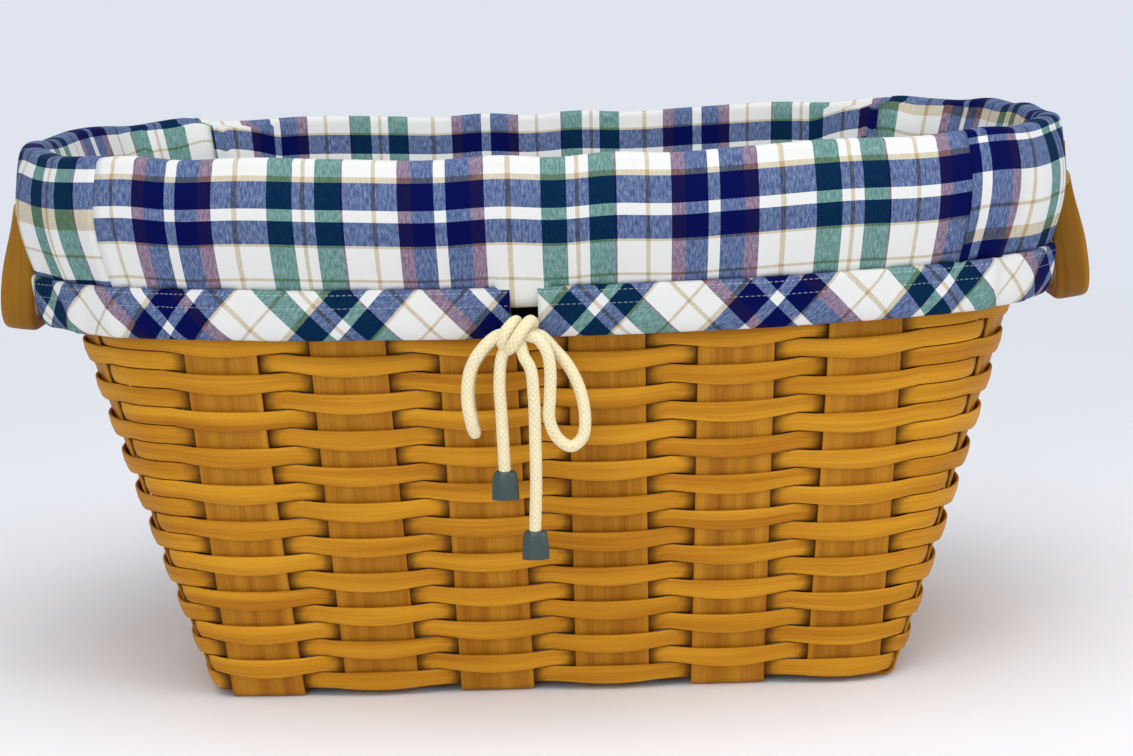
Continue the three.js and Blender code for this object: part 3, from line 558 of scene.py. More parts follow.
# Widths in millimetres and yarns of the plaid, in the order that they are woven
WARP = (
    (6.4, "maroon"), (10.8, "navy"), (5.4, "white"), (12.0, "navy"), (6.6, "maroon"),
    (10.4, "white"), (2.4, "tan"), (14.2, "white"), (12.4, "green"), (4.2, "white"), (2.0, "tan"),
    (4.4, "white"), (12.4, "green"), (1.0, "maroon"), (13.6, "white"), (2.2, "tan"),
    (10.4, "white"),
)
WEFT = (
    (2.8, "tan"), (13.2, "navy"), (5.7, "white"), (11.6, "navy"), (1.2, "tan"),
    (16.8, "white"), (1.6, "tan"), (13.4, "white"),
)
LEFT_WEFT = (
    (9.6, "navy"), (6.8, "white"), (13.4, "navy"), (10.4, "tan"), (13.0, "white"), (1.6, "tan"),
    (12.0, "white"), (9.2, "navy"),
)
RIGHT_WEFT = (
    (3.0, "navy"), (3.4, "white"), (14.6, "navy"), (16.4, "white"), (1.8, "tan"), (10.6, "white"),
    (6.4, "tan"), (13.2, "navy"),
)
# a sett of one very dark yarn: painted shadow for the casing's opening
PAINTED_SHADOW_SETT = ((10.0, "painted_shadow"),)

THREAD = 0.9 * MM
# more repeats than any cloth has, added so that a place before the first one still counts upwards
SPARE_REPEATS = 50
# dark yarn shows more than its share, so the colours are bent by this power before they are mixed
YARN_BEND = 0.35
STITCH_PITCH, STITCH_SHARE, STITCH_THICKNESS = 3 * MM, 0.62, 0.4 * MM


def plaid_cotton(name, finish, starts, setts=(WARP, WEFT), bias=0.0, stitches=()):
    """Yarn-dyed cotton in a plain weave: where yarns of two colours cross, the eye sees a heathered
    mix, streaked by uneven yarn along the warp. The threads are drawn at 0.9 mm, about three times
    their real spacing, so that they show. Rows of white stitching can be laid across the cloth."""
    material, tree = new_material(name)
    laid = add_node(tree, "UVMap", uv_map="laid")
    turned = add_node(tree, "Mapping", {"Vector": laid, "Rotation": (0, 0, bias)})
    axes = add_node(tree, "SeparateXYZ", {"Vector": turned}).outputs
    bent = []
    for axis, sett, start in zip("XY", setts, starts):
        repeat = sum(width for width, _ in sett) * MM
        count = {0: axes[axis], 1: 1 / repeat, 2: SPARE_REPEATS - start * MM / repeat}
        counted = add_node(tree, "Math", count, operation="MULTIPLY_ADD")
        place = add_node(tree, "Math", {0: counted}, operation="FRACT")
        ramp = add_node(tree, "ValToRGB", {"Fac": place})
        ramp.color_ramp.interpolation = "CONSTANT"
        stops = ramp.color_ramp.elements
        while len(stops) < len(sett):
            stops.new(1.0)
        while len(stops) > len(sett):
            stops.remove(stops[-1])
        edge = 0.0
        for stop, (width, yarn) in zip(stops, sett):
            stop.position = edge
            stop.color = linear(getattr(finish, "yarn_" + yarn))
            edge += width * MM / repeat
        bent.append(add_node(tree, "Gamma", {"Color": ramp, "Gamma": YARN_BEND}))
    checks = add_node(tree, "TexChecker", {"Vector": turned, "Scale": 1 / THREAD}).outputs["Fac"]
    slub = add_node(
        tree, "Mapping", {"Vector": turned, "Scale": (0.9 / THREAD, 0.25 / THREAD, 1)}
    )
    lint = add_node(tree, "TexNoise", {"Vector": slub, "Scale": 1.0, "Detail": 3.0})
    uneven = add_node(tree, "MapRange", {"Value": lint, "From Min": 0.3, "From Max": 0.7})
    over = add_node(tree, "MixRGB", {"Fac": 0.8, "Color1": checks, "Color2": uneven})
    share = add_node(tree, "MapRange", {"Value": over, "To Min": 0.33, "To Max": 0.67})
    woven = add_node(tree, "MixRGB", {"Fac": share, "Color1": bent[0], "Color2": bent[1]})
    cloth = add_node(tree, "Gamma", {"Color": woven, "Gamma": 1 / YARN_BEND})
    if stitches:
        cloth = stitched(tree, laid, cloth, stitches, linear(finish.yarn_white))
    bump = add_node(tree, "Bump", {"Height": over, "Strength": 0.25, "Distance": 0.2 * MM})
    surface(tree, base_color=cloth, roughness=0.9, normal=bump, specular_ior_level=0.08)
    return material


def stitched(tree, laid, cloth, rows, thread):
    """Cloth colour with rows of straight stitches, half sunk between the yarns."""
    axes = add_node(tree, "SeparateXYZ", {"Vector": laid}).outputs
    counted = add_node(tree, "Math", {0: axes["X"], 1: 1 / STITCH_PITCH}, operation="MULTIPLY")
    place = add_node(tree, "Math", {0: counted}, operation="FRACT")
    dash = add_node(tree, "Math", {0: place, 1: STITCH_SHARE}, operation="LESS_THAN")
    for row in rows:
        off = add_node(tree, "Math", {0: axes["Y"], 1: row}, operation="SUBTRACT")
        away = add_node(tree, "Math", {0: off}, operation="ABSOLUTE")
        line = add_node(tree, "Math", {0: away, 1: STITCH_THICKNESS / 2}, operation="LESS_THAN")
        seen = add_node(tree, "Math", {0: line, 1: dash}, operation="MULTIPLY")
        stitch = add_node(tree, "Math", {0: seen, 1: 0.3}, operation="MULTIPLY")
        cloth = add_node(tree, "MixRGB", {"Fac": stitch, "Color1": cloth, "Color2": thread})
    return cloth


def braided_cotton(name, value, cord):
    """Natural cotton, braided: matt and soft, with painted shade in the furrows between strands,
    and a fuzz of fibres drawn at 0.5 mm."""
    material, tree = new_material(name)
    laid = add_node(tree, "UVMap", uv_map="laid")
    axes = add_node(tree, "SeparateXYZ", {"Vector": laid}).outputs
    turns = cord.strands / 2 / cord.diameter
    furrows = []
    for sign in (1, -1):
        climb = add_node(
            tree, "Math", {0: axes["X"], 1: sign * math.pi / cord.lay}, operation="MULTIPLY"
        )
        angle = add_node(tree, "Math", {0: axes["Y"], 1: turns, 2: climb}, operation="MULTIPLY_ADD")
        wave = add_node(tree, "Math", {0: angle}, operation="SINE")
        furrows.append(add_node(tree, "Math", {0: wave}, operation="ABSOLUTE"))
    both = add_node(tree, "Math", {0: furrows[0], 1: furrows[1]}, operation="MULTIPLY")
    fuzz = add_node(tree, "TexNoise", {"Vector": laid, "Scale": 1 / (0.5 * MM), "Detail": 3.0})
    height = add_node(tree, "Math", {0: fuzz, 1: 0.5, 2: both}, operation="MULTIPLY_ADD")
    # painted shade: the cotton is darkened to 0.82 in the furrows; the fuzz varies its tone at
    # random
    shade = add_node(tree, "MapRange", {"Value": height, "From Min": 0.15, "From Max": 0.9})
    cotton = add_node(
        tree, "MixRGB", {"Fac": shade, "Color1": linear(value, 0.82), "Color2": linear(value)}
    )
    bump = add_node(tree, "Bump", {"Height": height, "Strength": 0.5, "Distance": 0.5 * MM})
    surface(
        tree, base_color=cotton, roughness=0.92, normal=bump, sheen_weight=0.2, sheen_roughness=0.4
    )
    return material


def moulded_plastic(name, value):
    """Moulded plastic, dark and slightly mottled, with a dull gloss and a fine pebble of 0.4 mm."""
    material, tree = new_material(name)
    coords = add_node(tree, "TexCoord").outputs["Object"]
    pebble = add_node(tree, "TexNoise", {"Vector": coords, "Scale": 1 / (0.4 * MM), "Detail": 2.0})
    cloud = add_node(tree, "TexNoise", {"Vector": coords, "Scale": 1 / (4 * MM), "Detail": 1.0})
    tone = add_node(
        tree, "MixRGB", {"Fac": cloud, "Color1": linear(value), "Color2": linear(value, 1.5)}
    )
    rough = add_node(tree, "MapRange", {"Value": cloud, "To Min": 0.28, "To Max": 0.42})
    bump = add_node(tree, "Bump", {"Height": pebble, "Strength": 0.1, "Distance": 0.2 * MM})
    surface(tree, base_color=tone, roughness=rough, normal=bump, ior=1.49)
    return material


def worn_brass(name, value):
    """Brass rivets, tumbled: warm metal with dull spots about 1 mm across."""
    material, tree = new_material(name)
    coords = add_node(tree, "TexCoord").outputs["Object"]
    spots = add_node(tree, "TexNoise", {"Vector": coords, "Scale": 1 / MM, "Detail": 2.0})
    tone = add_node(
        tree, "MixRGB", {"Fac": spots, "Color1": linear(value, 0.55), "Color2": linear(value)}
    )
    rough = add_node(tree, "MapRange", {"Value": spots, "To Min": 0.45, "To Max": 0.25})
    surface(tree, base_color=tone, roughness=rough, metallic=1.0)
    return material


def studio_paper(name, value, far):
    """Matt seamless paper: pale, with a faint fibre of 3 mm. From 0.4 m to 1.6 m out it passes into
    the even glow of a lit backdrop, which lights nothing."""
    material, tree = new_material(name)
    coords = add_node(tree, "TexCoord").outputs["Object"]
    fibre = add_node(tree, "TexNoise", {"Vector": coords, "Scale": 1 / (3 * MM), "Detail": 3.0})
    tone = add_node(
        tree, "MixRGB", {"Fac": fibre, "Color1": linear(value, 0.97), "Color2": linear(value)}
    )
    paper = add_node(tree, "BsdfPrincipled", {"Base Color": tone, "Roughness": 0.9})
    glow = add_node(tree, "Emission", {"Color": linear(far)})
    away = add_node(tree, "VectorMath", {0: coords}, operation="LENGTH").outputs["Value"]
    share = add_node(tree, "MapRange", {"Value": away, "From Min": 0.4, "From Max": 1.6})
    lit = add_node(tree, "Math", {0: share, 1: seen_rays(tree)}, operation="MULTIPLY")
    mixed = add_node(tree, "MixShader", {0: lit, 1: paper, 2: glow})
    add_node(tree, "OutputMaterial", {"Surface": mixed})
    return material


# Cord routes, repeated from the part: millimetres from the middle of the knot, in running order
KNOT = Vector((-10.0, -186.49, 199.25)) * MM
LOOP_LEFT = (
    (-3, -2, 0), (-10, -3.6, 0.5), (-18.2, -5, -5.8), (-24.3, -5.2, -16), (-26.2, -4.8, -29.7),
    (-24.6, -3.8, -42.5), (-23.3, 0, -47.5), (-24.4, 3.8, -42.5), (-25.8, 4, -29.7),
    (-23.5, 3.9, -16), (-17, 3.6, -6.5), (-10, 3.4, -0.5), (-3, 2, 0),
)
LOOP_RIGHT = (
    (3, -2, 0), (9, -4.2, -2), (13, -5.2, -8.5), (14.2, -5.5, -17.2), (13.6, -5, -30),
    (13, -4.2, -41.3), (16.8, -3, -50.8), (23, -2, -55), (28.5, -1, -51.2), (30.2, 0, -41.9),
    (27.8, 1.5, -27), (22.3, 2.6, -15.5), (16.2, 3.4, -8), (10, 3.4, -1.5), (3, 2, 0),
)
TAIL_LEFT = (
    (-3, -1, -2), (-8.4, -2.5, -9), (-10.4, -3, -21.9), (-10, -3, -39.6), (-9.4, -3, -66.3),
)
TAIL_RIGHT = (
    (0, -2, -2), (1.6, -5, -9.5), (4.8, -6, -16), (5.9, -5.6, -29.8), (5.9, -5, -50),
    (5.5, -5, -73.2), (4.3, -5, -95.8),
)
KNOT_WRAP = (
    (6.5, 4.5, 4.5), (5.2, -1.5, 6.6), (2.5, -6, 4.6), (-1.5, -7.4, -0.8), (-4.6, -5.2, -5.6),
    (-5.8, 0.5, -6.6), (-4.5, 5, -3), (-2, 5.6, 3), (-1.5, 1.5, 6.2), (-3.8, -4.2, 5.4),
    (-7.4, -6.2, 1), (-8.2, -3.4, -4), (-6, 1, -5.4),
)
LEAD_RIGHT = ((9.05, 13.89, 3.2), (6.5, 13.2, 3.1), (5.5, 8, 2.4), (4.2, 2, 1), (1.5, 0, 0))
LEAD_LEFT = ((-4.45, 13.92, 3.2), (-2.2, 13.2, 3.1), (-2.5, 8, 2.4), (-2.5, 2, 1), (-1.5, 0, 0))


def from_knot(route):
    return [KNOT + Vector(point) * MM for point in route]


class BASKET_OT_camera(bpy.types.Operator):
    """Set the camera at the height and angle of the reference view"""

    bl_idname = "basket.camera"
    bl_label = "Camera"

    # the reference view is 1133 pixels wide, and its focal length is given in those pixels
    VIEW_WIDTH = 1133
    FOCAL_PIXELS = 2492
    PLACE = Vector((24.86, -1372, 374.5)) * MM
    YAW, PITCH, ROLL = math.radians(-0.63), math.radians(9.44), math.radians(-1.84)

    def execute(self, context):
        data = bpy.data.cameras.new("camera")
        data.sensor_fit = "HORIZONTAL"
        data.sensor_width = 36
        data.lens = data.sensor_width * self.FOCAL_PIXELS / self.VIEW_WIDTH
        ahead = Vector((
            math.sin(self.YAW) * math.cos(self.PITCH),
            math.cos(self.YAW) * math.cos(self.PITCH),
            -math.sin(self.PITCH),
        ))
        level = Vector((math.cos(self.YAW), -math.sin(self.YAW), 0))
        upright = level.cross(ahead)
        right = level * math.cos(self.ROLL) + upright * math.sin(self.ROLL)
        top = upright * math.cos(self.ROLL) - level * math.sin(self.ROLL)
        camera = bpy.data.objects.new("camera", data)
        camera.matrix_world = Matrix((right, top, -ahead)).transposed().to_4x4()
        camera.location = self.PLACE
        context.scene.collection.objects.link(camera)
        context.scene.camera = camera
        return {"FINISHED"}


class BASKET_OT_cord(bpy.types.Operator):
    """Tie the bow of braided cord, with its moulded ends"""

    bl_idname = "basket.cord"
    bl_label = "Cord bow"

    END_BEVEL = 0.35 * MM
    # share of a cord end's height that hangs below the end of its cord
    GRIP_SHARE = 0.97

    def execute(self, context):
        settings = context.scene.basket
        cord = settings.cord
        cotton = braided_cotton("braided cotton", settings.finish.cord_cotton, cord)
        plastic = moulded_plastic("moulded cord end", settings.finish.cord_end)
        step = cord.diameter / 8

        knot = bmesh.new()
        for route in (KNOT_WRAP, LEAD_RIGHT, LEAD_LEFT):
            strand = braided_tube(catmull(from_knot(route), step), cord)
            part = bpy.data.meshes.new("strand")
            strand.to_mesh(part)
            strand.free()
            knot.from_mesh(part)
            bpy.data.meshes.remove(part)
        tied = finished(knot, "tied_knot", cotton, "bow_knot")

        # the strands of the bow, and the solid at the far end of each tail
        for part, route, end_node in (
            ("loop_left", LOOP_LEFT, None),
            ("loop_right", LOOP_RIGHT, None),
            ("tail_left", TAIL_LEFT, "cord_end_left"),
            ("tail_right", TAIL_RIGHT, "cord_end_right"),
        ):
            line = catmull(from_knot(route), step)
            tube = braided_tube(line, cord)
            strand = finished(tube, "cord_" + part, cotton, "bow_" + part)
            on_it = [tied] if part == "loop_left" else []
            if end_node:
                bell = self.cord_end(cord, line[-1])
                on_it = [finished(bell, "bell_" + end_node, plastic, end_node)]
        return {"FINISHED"}

    def cord_end(self, cord, foot):
        """A bell that grips the cord: eight flat sides, square shoulders and a hollow foot."""
        bm = bmesh.new()
        radius = cord.end_width / 2
        ring = bmesh.ops.create_circle(bm, segments=8, radius=radius, cap_ends=True)["verts"]
        bmesh.ops.rotate(bm, verts=ring, matrix=Matrix.Rotation(math.pi / 8, 3, "Z"))
        full = cord.end_width / max(v.co.x for v in ring) / 2
        bmesh.ops.scale(bm, verts=ring, vec=(full, full * cord.end_thickness / cord.end_width, 1))
        # share of the height that each step climbs, and the width left there
        for climb, width in ((0.45, 0.97), (0.35, 0.91), (0.12, 0.91), (0.08, 0.8)):
            top = max(bm.faces, key=lambda face: face.calc_center_median().z)
            new = bmesh.ops.extrude_face_region(bm, geom=[top])["geom"]
            verts = [item for item in new if isinstance(item, bmesh.types.BMVert)]
            bmesh.ops.delete(bm, geom=[top], context="FACES_ONLY")
            bmesh.ops.translate(bm, verts=verts, vec=UP * climb * cord.end_height)
            centre = Matrix.Translation(-sum((v.co for v in verts), Vector()) / len(verts))
            bmesh.ops.scale(bm, verts=verts, vec=(width, width, 1), space=centre)
        face_outwards(bm)
        edges = [edge for edge in bm.edges if edge.calc_face_angle(0) > math.radians(20)]
        bmesh.ops.bevel(
            bm, geom=edges, offset=self.END_BEVEL, affect="EDGES", segments=2, profile=0.5,
            material=-1,
        )
        drop = UP * cord.end_height * self.GRIP_SHARE
        bmesh.ops.translate(bm, verts=bm.verts, vec=foot - drop)
        return bm


class BASKET_OT_splints(bpy.types.Operator):
    """Lay the upright splints across the base and up the walls"""

    bl_idname = "basket.splints"
    bl_label = "Upright splints"

    WALL_STEPS = 28
    BEND_STEPS = 6
    CROSSING_STEPS = 8
    CROWN, EDGE = 0.15 * MM, 0.05
    TOP_CLEARANCE = 0.3 * MM

    def execute(self, context):
        settings = context.scene.basket
        wall = WallShape(settings.wall)
        sizes = settings.wall
        finish = settings.finish
        # the uprights take a darker copy of the maple: painted shade for the shadow of the rows
        maple = stained_maple("stained maple splint in painted shade", finish.upright_pale, finish.upright_deep)
        across, along = sizes.cross_splints, sizes.long_splints
        right, back = across, across + along
        left = back + across
        for k in range(across):
            ends = k, back + across - 1 - k
            layers = [(k + m) % 2 for m in range(along)]
            self.splint(wall, maple, "cross", k + 1, ends, layers, right)
        for m in range(along):
            ends = left + along - 1 - m, right + m
            layers = [(k + m + 1) % 2 for k in range(across)]
            self.splint(wall, maple, "long", m + 1, ends, layers, 0)
        return {"FINISHED"}

    def splint(self, wall, maple, kind, number, ends, layers, crossed):
        """One splint from upright to upright, over (1) or under (0) each that it crosses."""
        name = "upright_%s_%d" % (kind, number)
        sizes = wall.sizes
        low = sizes.splint_thickness / 2
        rise = sizes.splint_thickness + sizes.layer_gap
        first, last = (low + rise * layer for layer in (layers[0], layers[-1]))
        path = self.climb(wall, ends[0], first, 1)
        down = self.climb(wall, ends[1], last, -1)
        # height of the base pass: level under or over each crossing splint, smooth between them
        middles = [wall.upright_at(crossed + i, 0).point for i in range(len(layers))]
        travel = down[-1][0] - path[-1][0]
        travel.z = 0
        travel.normalize()
        reaches = sorted(point.dot(travel) for point in middles)
        for i in range(len(layers) - 1):
            for step in range(self.CROSSING_STEPS + (i == len(layers) - 2)):
                share = step / self.CROSSING_STEPS
                reach = reaches[i] + (reaches[i + 1] - reaches[i]) * share
                change = layers[i + 1] - layers[i]
                centre = wall.upright_at(ends[0], 0).point.copy()
                centre -= travel * (centre.dot(travel) - reach)
                centre.z = low + rise * (layers[i] + change * smooth(share * 1.6 - 0.3))
                path.append((centre, path[0][1], -UP))
        path += reversed(down)
        outline = band_outline(sizes.splint_thickness, self.CROWN, self.EDGE)
        runs = run_lengths([point for point, _, _ in path])
        # each splint has its own place in the grain
        seed = sum(map(ord, name)) % 37
        width = sizes.splint_width
        points, uvs = [], []
        for (point, side, face), run in zip(path, runs):
            points.append(
                [point + side * (share - 0.5) * width + face * out for share, out in outline]
            )
            uvs.append([(run + seed, share * width + seed * 0.11) for share, _ in outline])
        bm = closed(laid_grid(points, uvs, ring=True))
        finished(bm, name, maple, "%s_splint_%d" % (kind, number))

    def climb(self, wall, index, layer, turn):
        """Down one wall and round its foot: points, sides and outer faces."""
        sizes = wall.sizes
        bend = sizes.foot_bend
        steps = []
        for height in spread(sizes.height - self.TOP_CLEARANCE, layer + bend, self.WALL_STEPS):
            place = wall.upright_at(index, height)
            steps.append((place.point, place.along * turn, place.out))
        for angle in spread(0, math.pi / 2, self.BEND_STEPS)[1:]:
            place = wall.upright_at(index, layer + bend * (1 - math.sin(angle)))
            point = place.point - place.out * bend * (1 - math.cos(angle))
            point.z = layer + bend * (1 - math.sin(angle))
            face = place.out * math.cos(angle) - UP * math.sin(angle)
            steps.append((point, place.along * turn, face))
        return steps


class BASKET_OT_weavers(bpy.types.Operator):
    """Weave the rows of thin splint and set the two rim bands"""

    bl_idname = "basket.weavers"
    bl_label = "Weavers and rim bands"

    STEPS = 20
    # rise of a strip's face as a share of its thickness, and width of its rounded edges
    CROWN, EDGE = 0.26, 0.2
    # furthest from an upright that a row still swings, on the way round a corner
    CORNER_SWING = 30 * MM

    def execute(self, context):
        settings = context.scene.basket
        wall = WallShape(settings.wall)
        weave = settings.weave
        finish = settings.finish
        maple = stained_maple("stained maple weaver", finish.maple_pale, finish.maple_deep)
        for row in range(1, weave.rows + 1):
            low = weave.first_row + (row - 1) * weave.pitch
            levels = low, low + weave.weaver_height
            bm = self.ring(wall, weave, levels, weave.weaver_thickness, row)
            finished(bm, "row_%02d" % row, maple, "weaver_%02d" % row)
        levels = settings.wall.band_foot, settings.wall.height
        for node, sign in (("rim_band_outer", 1), ("rim_band_inner", -1)):
            offset = sign * weave.band_offset
            bm = self.ring(wall, weave, levels, weave.band_thickness, 40 + sign, offset)
            finished(bm, "hoop_" + node, maple, node)
        return {"FINISHED"}

    def wave(self, wall, low, phase, row):
        """Out over one upright and in behind the next, by turns from row to row. Round a corner a
        row lies flat in the wall between the two."""
        index, nearest = math.floor(phase), round(phase)
        sign = 1 if (nearest + row) % 2 == 0 else -1
        if not wall.uprights[index % wall.count].ends_side:
            return sign * abs(math.cos(math.pi * (phase - index)))
        corner = wall.at(low, index + 0.5).point
        swing = min((corner - wall.upright_at(i, low).point).length for i in (index, index + 1))
        away = (wall.at(low, phase).point - wall.upright_at(nearest, low).point).length
        return sign * math.cos(math.pi / 2 * min(1.0, away / min(swing, self.CORNER_SWING)))

    def ring(self, wall, weave, levels, thickness, seed, offset=None):
        """A closed strip round the wall: a band at one offset, or else a weaver."""
        low, high = levels
        height = high - low
        outline = band_outline(thickness, self.CROWN * thickness, self.EDGE)
        # each row's ends meet behind the basket, a few splints along from those of the row below
        start = wall.sizes.cross_splints + wall.sizes.long_splints + seed % 4
        phases = spread(start, start + wall.count, wall.count * self.STEPS)
        feet = [wall.at(low, phase) for phase in phases]
        runs = run_lengths([foot.point for foot in feet])
        points, uvs, painted_shades = [], [], []
        for phase, foot, run in zip(phases, feet, runs):
            top = wall.at(high, phase)
            shift, grow, beside = top.out * (offset or 0.0), 1.0, None
            if offset is None:
                wave = self.wave(wall, low, phase, seed)
                flat = wall.uprights[math.floor(phase) % wall.count].ends_side
                grow += weave.swell * (max(abs(wave), 0.45 if flat else 0.4) - 0.5) / height
                if wave < 0 and seed > 1:
                    grow += 0.8 * weave.swell * smooth(-2 * wave - 0.3) / height
                dip = weave.dip if seed > 1 else 0.3 * weave.dip
                shift = top.out * wave * weave.wave - UP * abs(wave) * dip
                # where a weaver goes behind an upright, its distance from the upright's edge sets
                # its painted shade
                if wave < 0:
                    upright = wall.upright_at(round(phase), low).point
                    beside = (foot.point - upright).length - wall.sizes.splint_width / 2
            row, uv_row, painted_shade_row = [], [], []
            for share, reach in outline:
                level = 0.5 + (share - 0.5) * grow
                row.append(foot.point.lerp(top.point, level) + shift + top.out * reach)
                # each row has its own place in the grain
                uv_row.append((run + seed * 1.31, share * height + seed * 0.173))
                # the painted shade reaches further along the edges, so that the strip's ends look
                # pointed
                depth = weave.painted_shade * (1 + 1.2 * (2 * share - 1) ** 4)
                painted_shade_row.append(0.0 if beside is None else 1 - smooth(beside / depth))
            points.append(row)
            uvs.append(uv_row)
            painted_shades.append(painted_shade_row)
        points[-1] = points[0]
        bm = laid_grid(points, uvs, ring=True, painted_shades=painted_shades)
        face_outwards(bm)
        return bm


class BASKET_OT_liner(bpy.types.Operator):
    """Drape the plaid liner over the rim and sew the cord's casing to it"""

    bl_idname = "basket.liner"
    bl_label = "Plaid liner"

    COLUMNS = 26
    INNER_STEPS, FOLD_STEPS, FLAP_STEPS = 16, 10, 18
    FLOOR_STEPS, FLOOR_POWER = (60, 40), 14
    HEM_STEPS, OPENING_STEPS = 28, 6
    # the front panel reaches less far round its right corner than round its left one
    SHORT_SEAM = 0.87
    CORNER_PULL = 0.6
    # the cloth inside hangs slack, and the fold over the rim starts and ends below the rim's top
    SLACK = 1.2 * MM
    FOLD_START, FOLD_END = 3 * MM, 4 * MM
    FOLD_RISE, FOLD_LIFT, FOLD_POWER = 4.4 * MM, 0.9 * MM, 0.7
    SEAM_OVERLAP = 0.6 * MM
    # bunched cloth leans in and stands up, along the end panels' back edges and the back's own
    BUNCH_IN, BUNCH_UP = 8 * MM, 3 * MM
    BUNCH_RUN, BUNCH_WAVE, BACK_RUN = 55 * MM, 5 * MM, 14 * MM
    # middle and reach of the puffs beside each handle, along Y
    PUFF_PLACE, PUFF_REACH = 97 * MM, 20 * MM
    # the part of a repeat left over where the hem's plaid comes round to the opening
    HEM_PART = 0.71
    # rows of stitching, down from the top of the hem
    STITCH_ROWS = 3.2 * MM, 9.6 * MM
    # height of the cord in its casing, as a share of the hem's
    CORD_LEVEL = 0.28

    def execute(self, context):
        settings = context.scene.basket
        wall = WallShape(settings.wall)
        liner = settings.liner
        finish = settings.finish
        across, along = settings.wall.cross_splints, settings.wall.long_splints
        seam = liner.seam_share
        first_end, back = across - 1, across + along - 1
        second_end = back + across
        front_left = second_end + along + 1 - seam
        front_right = first_end + self.SHORT_SEAM * seam
        back_right, back_left = back + 1 - seam, second_end + seam
        # name, node, seams, the sett's starts in millimetres from the first seam and the rim, weft
        panels = (
            ("front", "liner_front", front_left, wall.count + front_right, (-110, 12), WEFT),
            ("right", "liner_right_end", front_right, back_right, (-11.7, 4), RIGHT_WEFT),
            ("back", "liner_back", back_right, back_left, (-27, -48.5), WEFT),
            ("left", "liner_left_end", back_left, front_left, (-53.5, 0), LEFT_WEFT),
        )
        for side, node, start, end, starts, weft in panels:
            cotton = plaid_cotton("plaid cotton " + side, finish, starts, (WARP, weft))
            self.panel(wall, liner, "cloth_" + side, node, start, end, cotton)
        self.floor(wall, liner, plaid_cotton("plaid cotton floor", finish, (0, 0)))
        self.hem(wall, liner, finish)
        self.drawstring(wall, liner, settings.cord)
        return {"FINISHED"}

    def puff(self, rim):
        """From 0 to 1, most in the cloth of the ends between a handle and the corners."""
        away = (abs(rim.point.y) - self.PUFF_PLACE) / self.PUFF_REACH
        return rim.out.x**2 * math.exp(-(away**2))

    def hem_offset(self, liner, rim):
        clear = liner.hem_off_sides + (liner.hem_off_ends - liner.hem_off_sides) * rim.out.x**2
        return liner.weave_face + clear + liner.puff * self.puff(rim) + liner.hem_thickness / 2

    def gather(self, liner, place, run):
        cornerness = 4 * (place.out.x * place.out.y) ** 2
        return liner.gathers * (0.14 + 0.86 * cornerness) * ripple(run, 0.4)

    def cross_line(self, wall, liner, phase, run, bunch):
        """The cloth at one phase: straight up inside, over the rim and down to the hem's seam."""
        sizes = wall.sizes
        rim = wall.at(sizes.height, phase)
        heights = wall.base_top, sizes.height - self.FOLD_START
        ends = [wall.at(height, phase, self.CORNER_PULL) for height in heights]
        low, high = (place.point - place.out * liner.inside for place in ends)
        line = []
        for share in spread(0, 1, self.INNER_STEPS):
            slack = self.SLACK * abs(ripple(run * 0.35, 1.9)) * math.sin(math.pi * share)
            inward = slack + bunch * self.BUNCH_IN * smooth(2 * share - 1)
            raised = bunch * self.BUNCH_UP * share
            line.append(low.lerp(high, share) - rim.out * inward + UP * raised)
        lift = self.FOLD_LIFT * math.sin(run / (13 * MM) + 1.4 * math.sin(run / (37 * MM)))
        middle = (liner.shoulder - liner.inside) / 2
        half = (liner.shoulder + liner.inside) / 2
        for angle in spread(math.pi, 0, self.FOLD_STEPS)[1:-1]:
            across = squared_off(math.cos(angle), self.FOLD_POWER)
            rise = (self.FOLD_RISE + lift) * squared_off(math.sin(angle), self.FOLD_POWER)
            inner = bunch * (1 - across) / 2
            point = rim.point + rim.out * (middle + half * across - inner * self.BUNCH_IN)
            line.append(point + UP * (inner * self.BUNCH_UP + rise - self.FOLD_START))
        shoulder = rim.out * (liner.shoulder + self.SEAM_OVERLAP)
        fold = rim.point + shoulder - UP * self.FOLD_END
        hem_top = wall.at(sizes.height - liner.flap_drop, phase)
        seam = hem_top.point + rim.out * (self.hem_offset(liner, rim) - self.SEAM_OVERLAP)
        endness = rim.out.x**4
        tab = 0.0
        if rim.out.y < -0.9 and abs(seam.x - liner.opening_centre) < 0.9 * liner.opening_width:
            tab = liner.tab
        full = liner.fullness * (1 - 0.45 * endness) + 0.3 * liner.puff * self.puff(rim)
        for share in spread(0, 1, self.FLAP_STEPS):
            swell = full * math.sin(math.pi * share**0.85)
            pleat = self.gather(liner, rim, run) * smooth(share * 1.3)
            point = fold.lerp(seam, share) + rim.out * (swell + pleat)
            line.append(point - UP * tab * smooth((share - 0.8) * 5))
        return line

    def bunch(self, name, run, width):
        """An end panel is bunched up where it meets the back panel, which turns in to meet it."""
        if name == "cloth_front":
            return 0.0
        if name == "cloth_back":
            return 0.75 * smooth(1 - min(run, width - run) / self.BACK_RUN)
        at_back = run if name == "cloth_left" else width - run
        uneven = 0.75 + 0.25 * math.sin(at_back / self.BUNCH_WAVE)
        return smooth(1 - at_back / self.BUNCH_RUN) * uneven

    def panel(self, wall, liner, name, node, start, end, cotton):
        phases = spread(start, end, round((end - start) * self.COLUMNS))
        rims = [wall.at(wall.sizes.height, phase).point for phase in phases]
        runs = run_lengths(rims)
        width = runs[-1]
        lines, uvs = [], []
        for phase, run in zip(phases, runs):
            line = self.cross_line(wall, liner, phase, run, self.bunch(name, run, width))
            down = run_lengths(line)
            top = down[max(range(len(line)), key=lambda i: line[i].z)]
            lines.append(line)
            uvs.append([(run, d - top) for d in down])
        piece = finished(laid_grid(lines, uvs), name, cotton, node)
        thicken(piece, liner.cloth)

    def floor(self, wall, liner, cotton):
        sizes = wall.sizes
        height = wall.base_top + liner.cloth
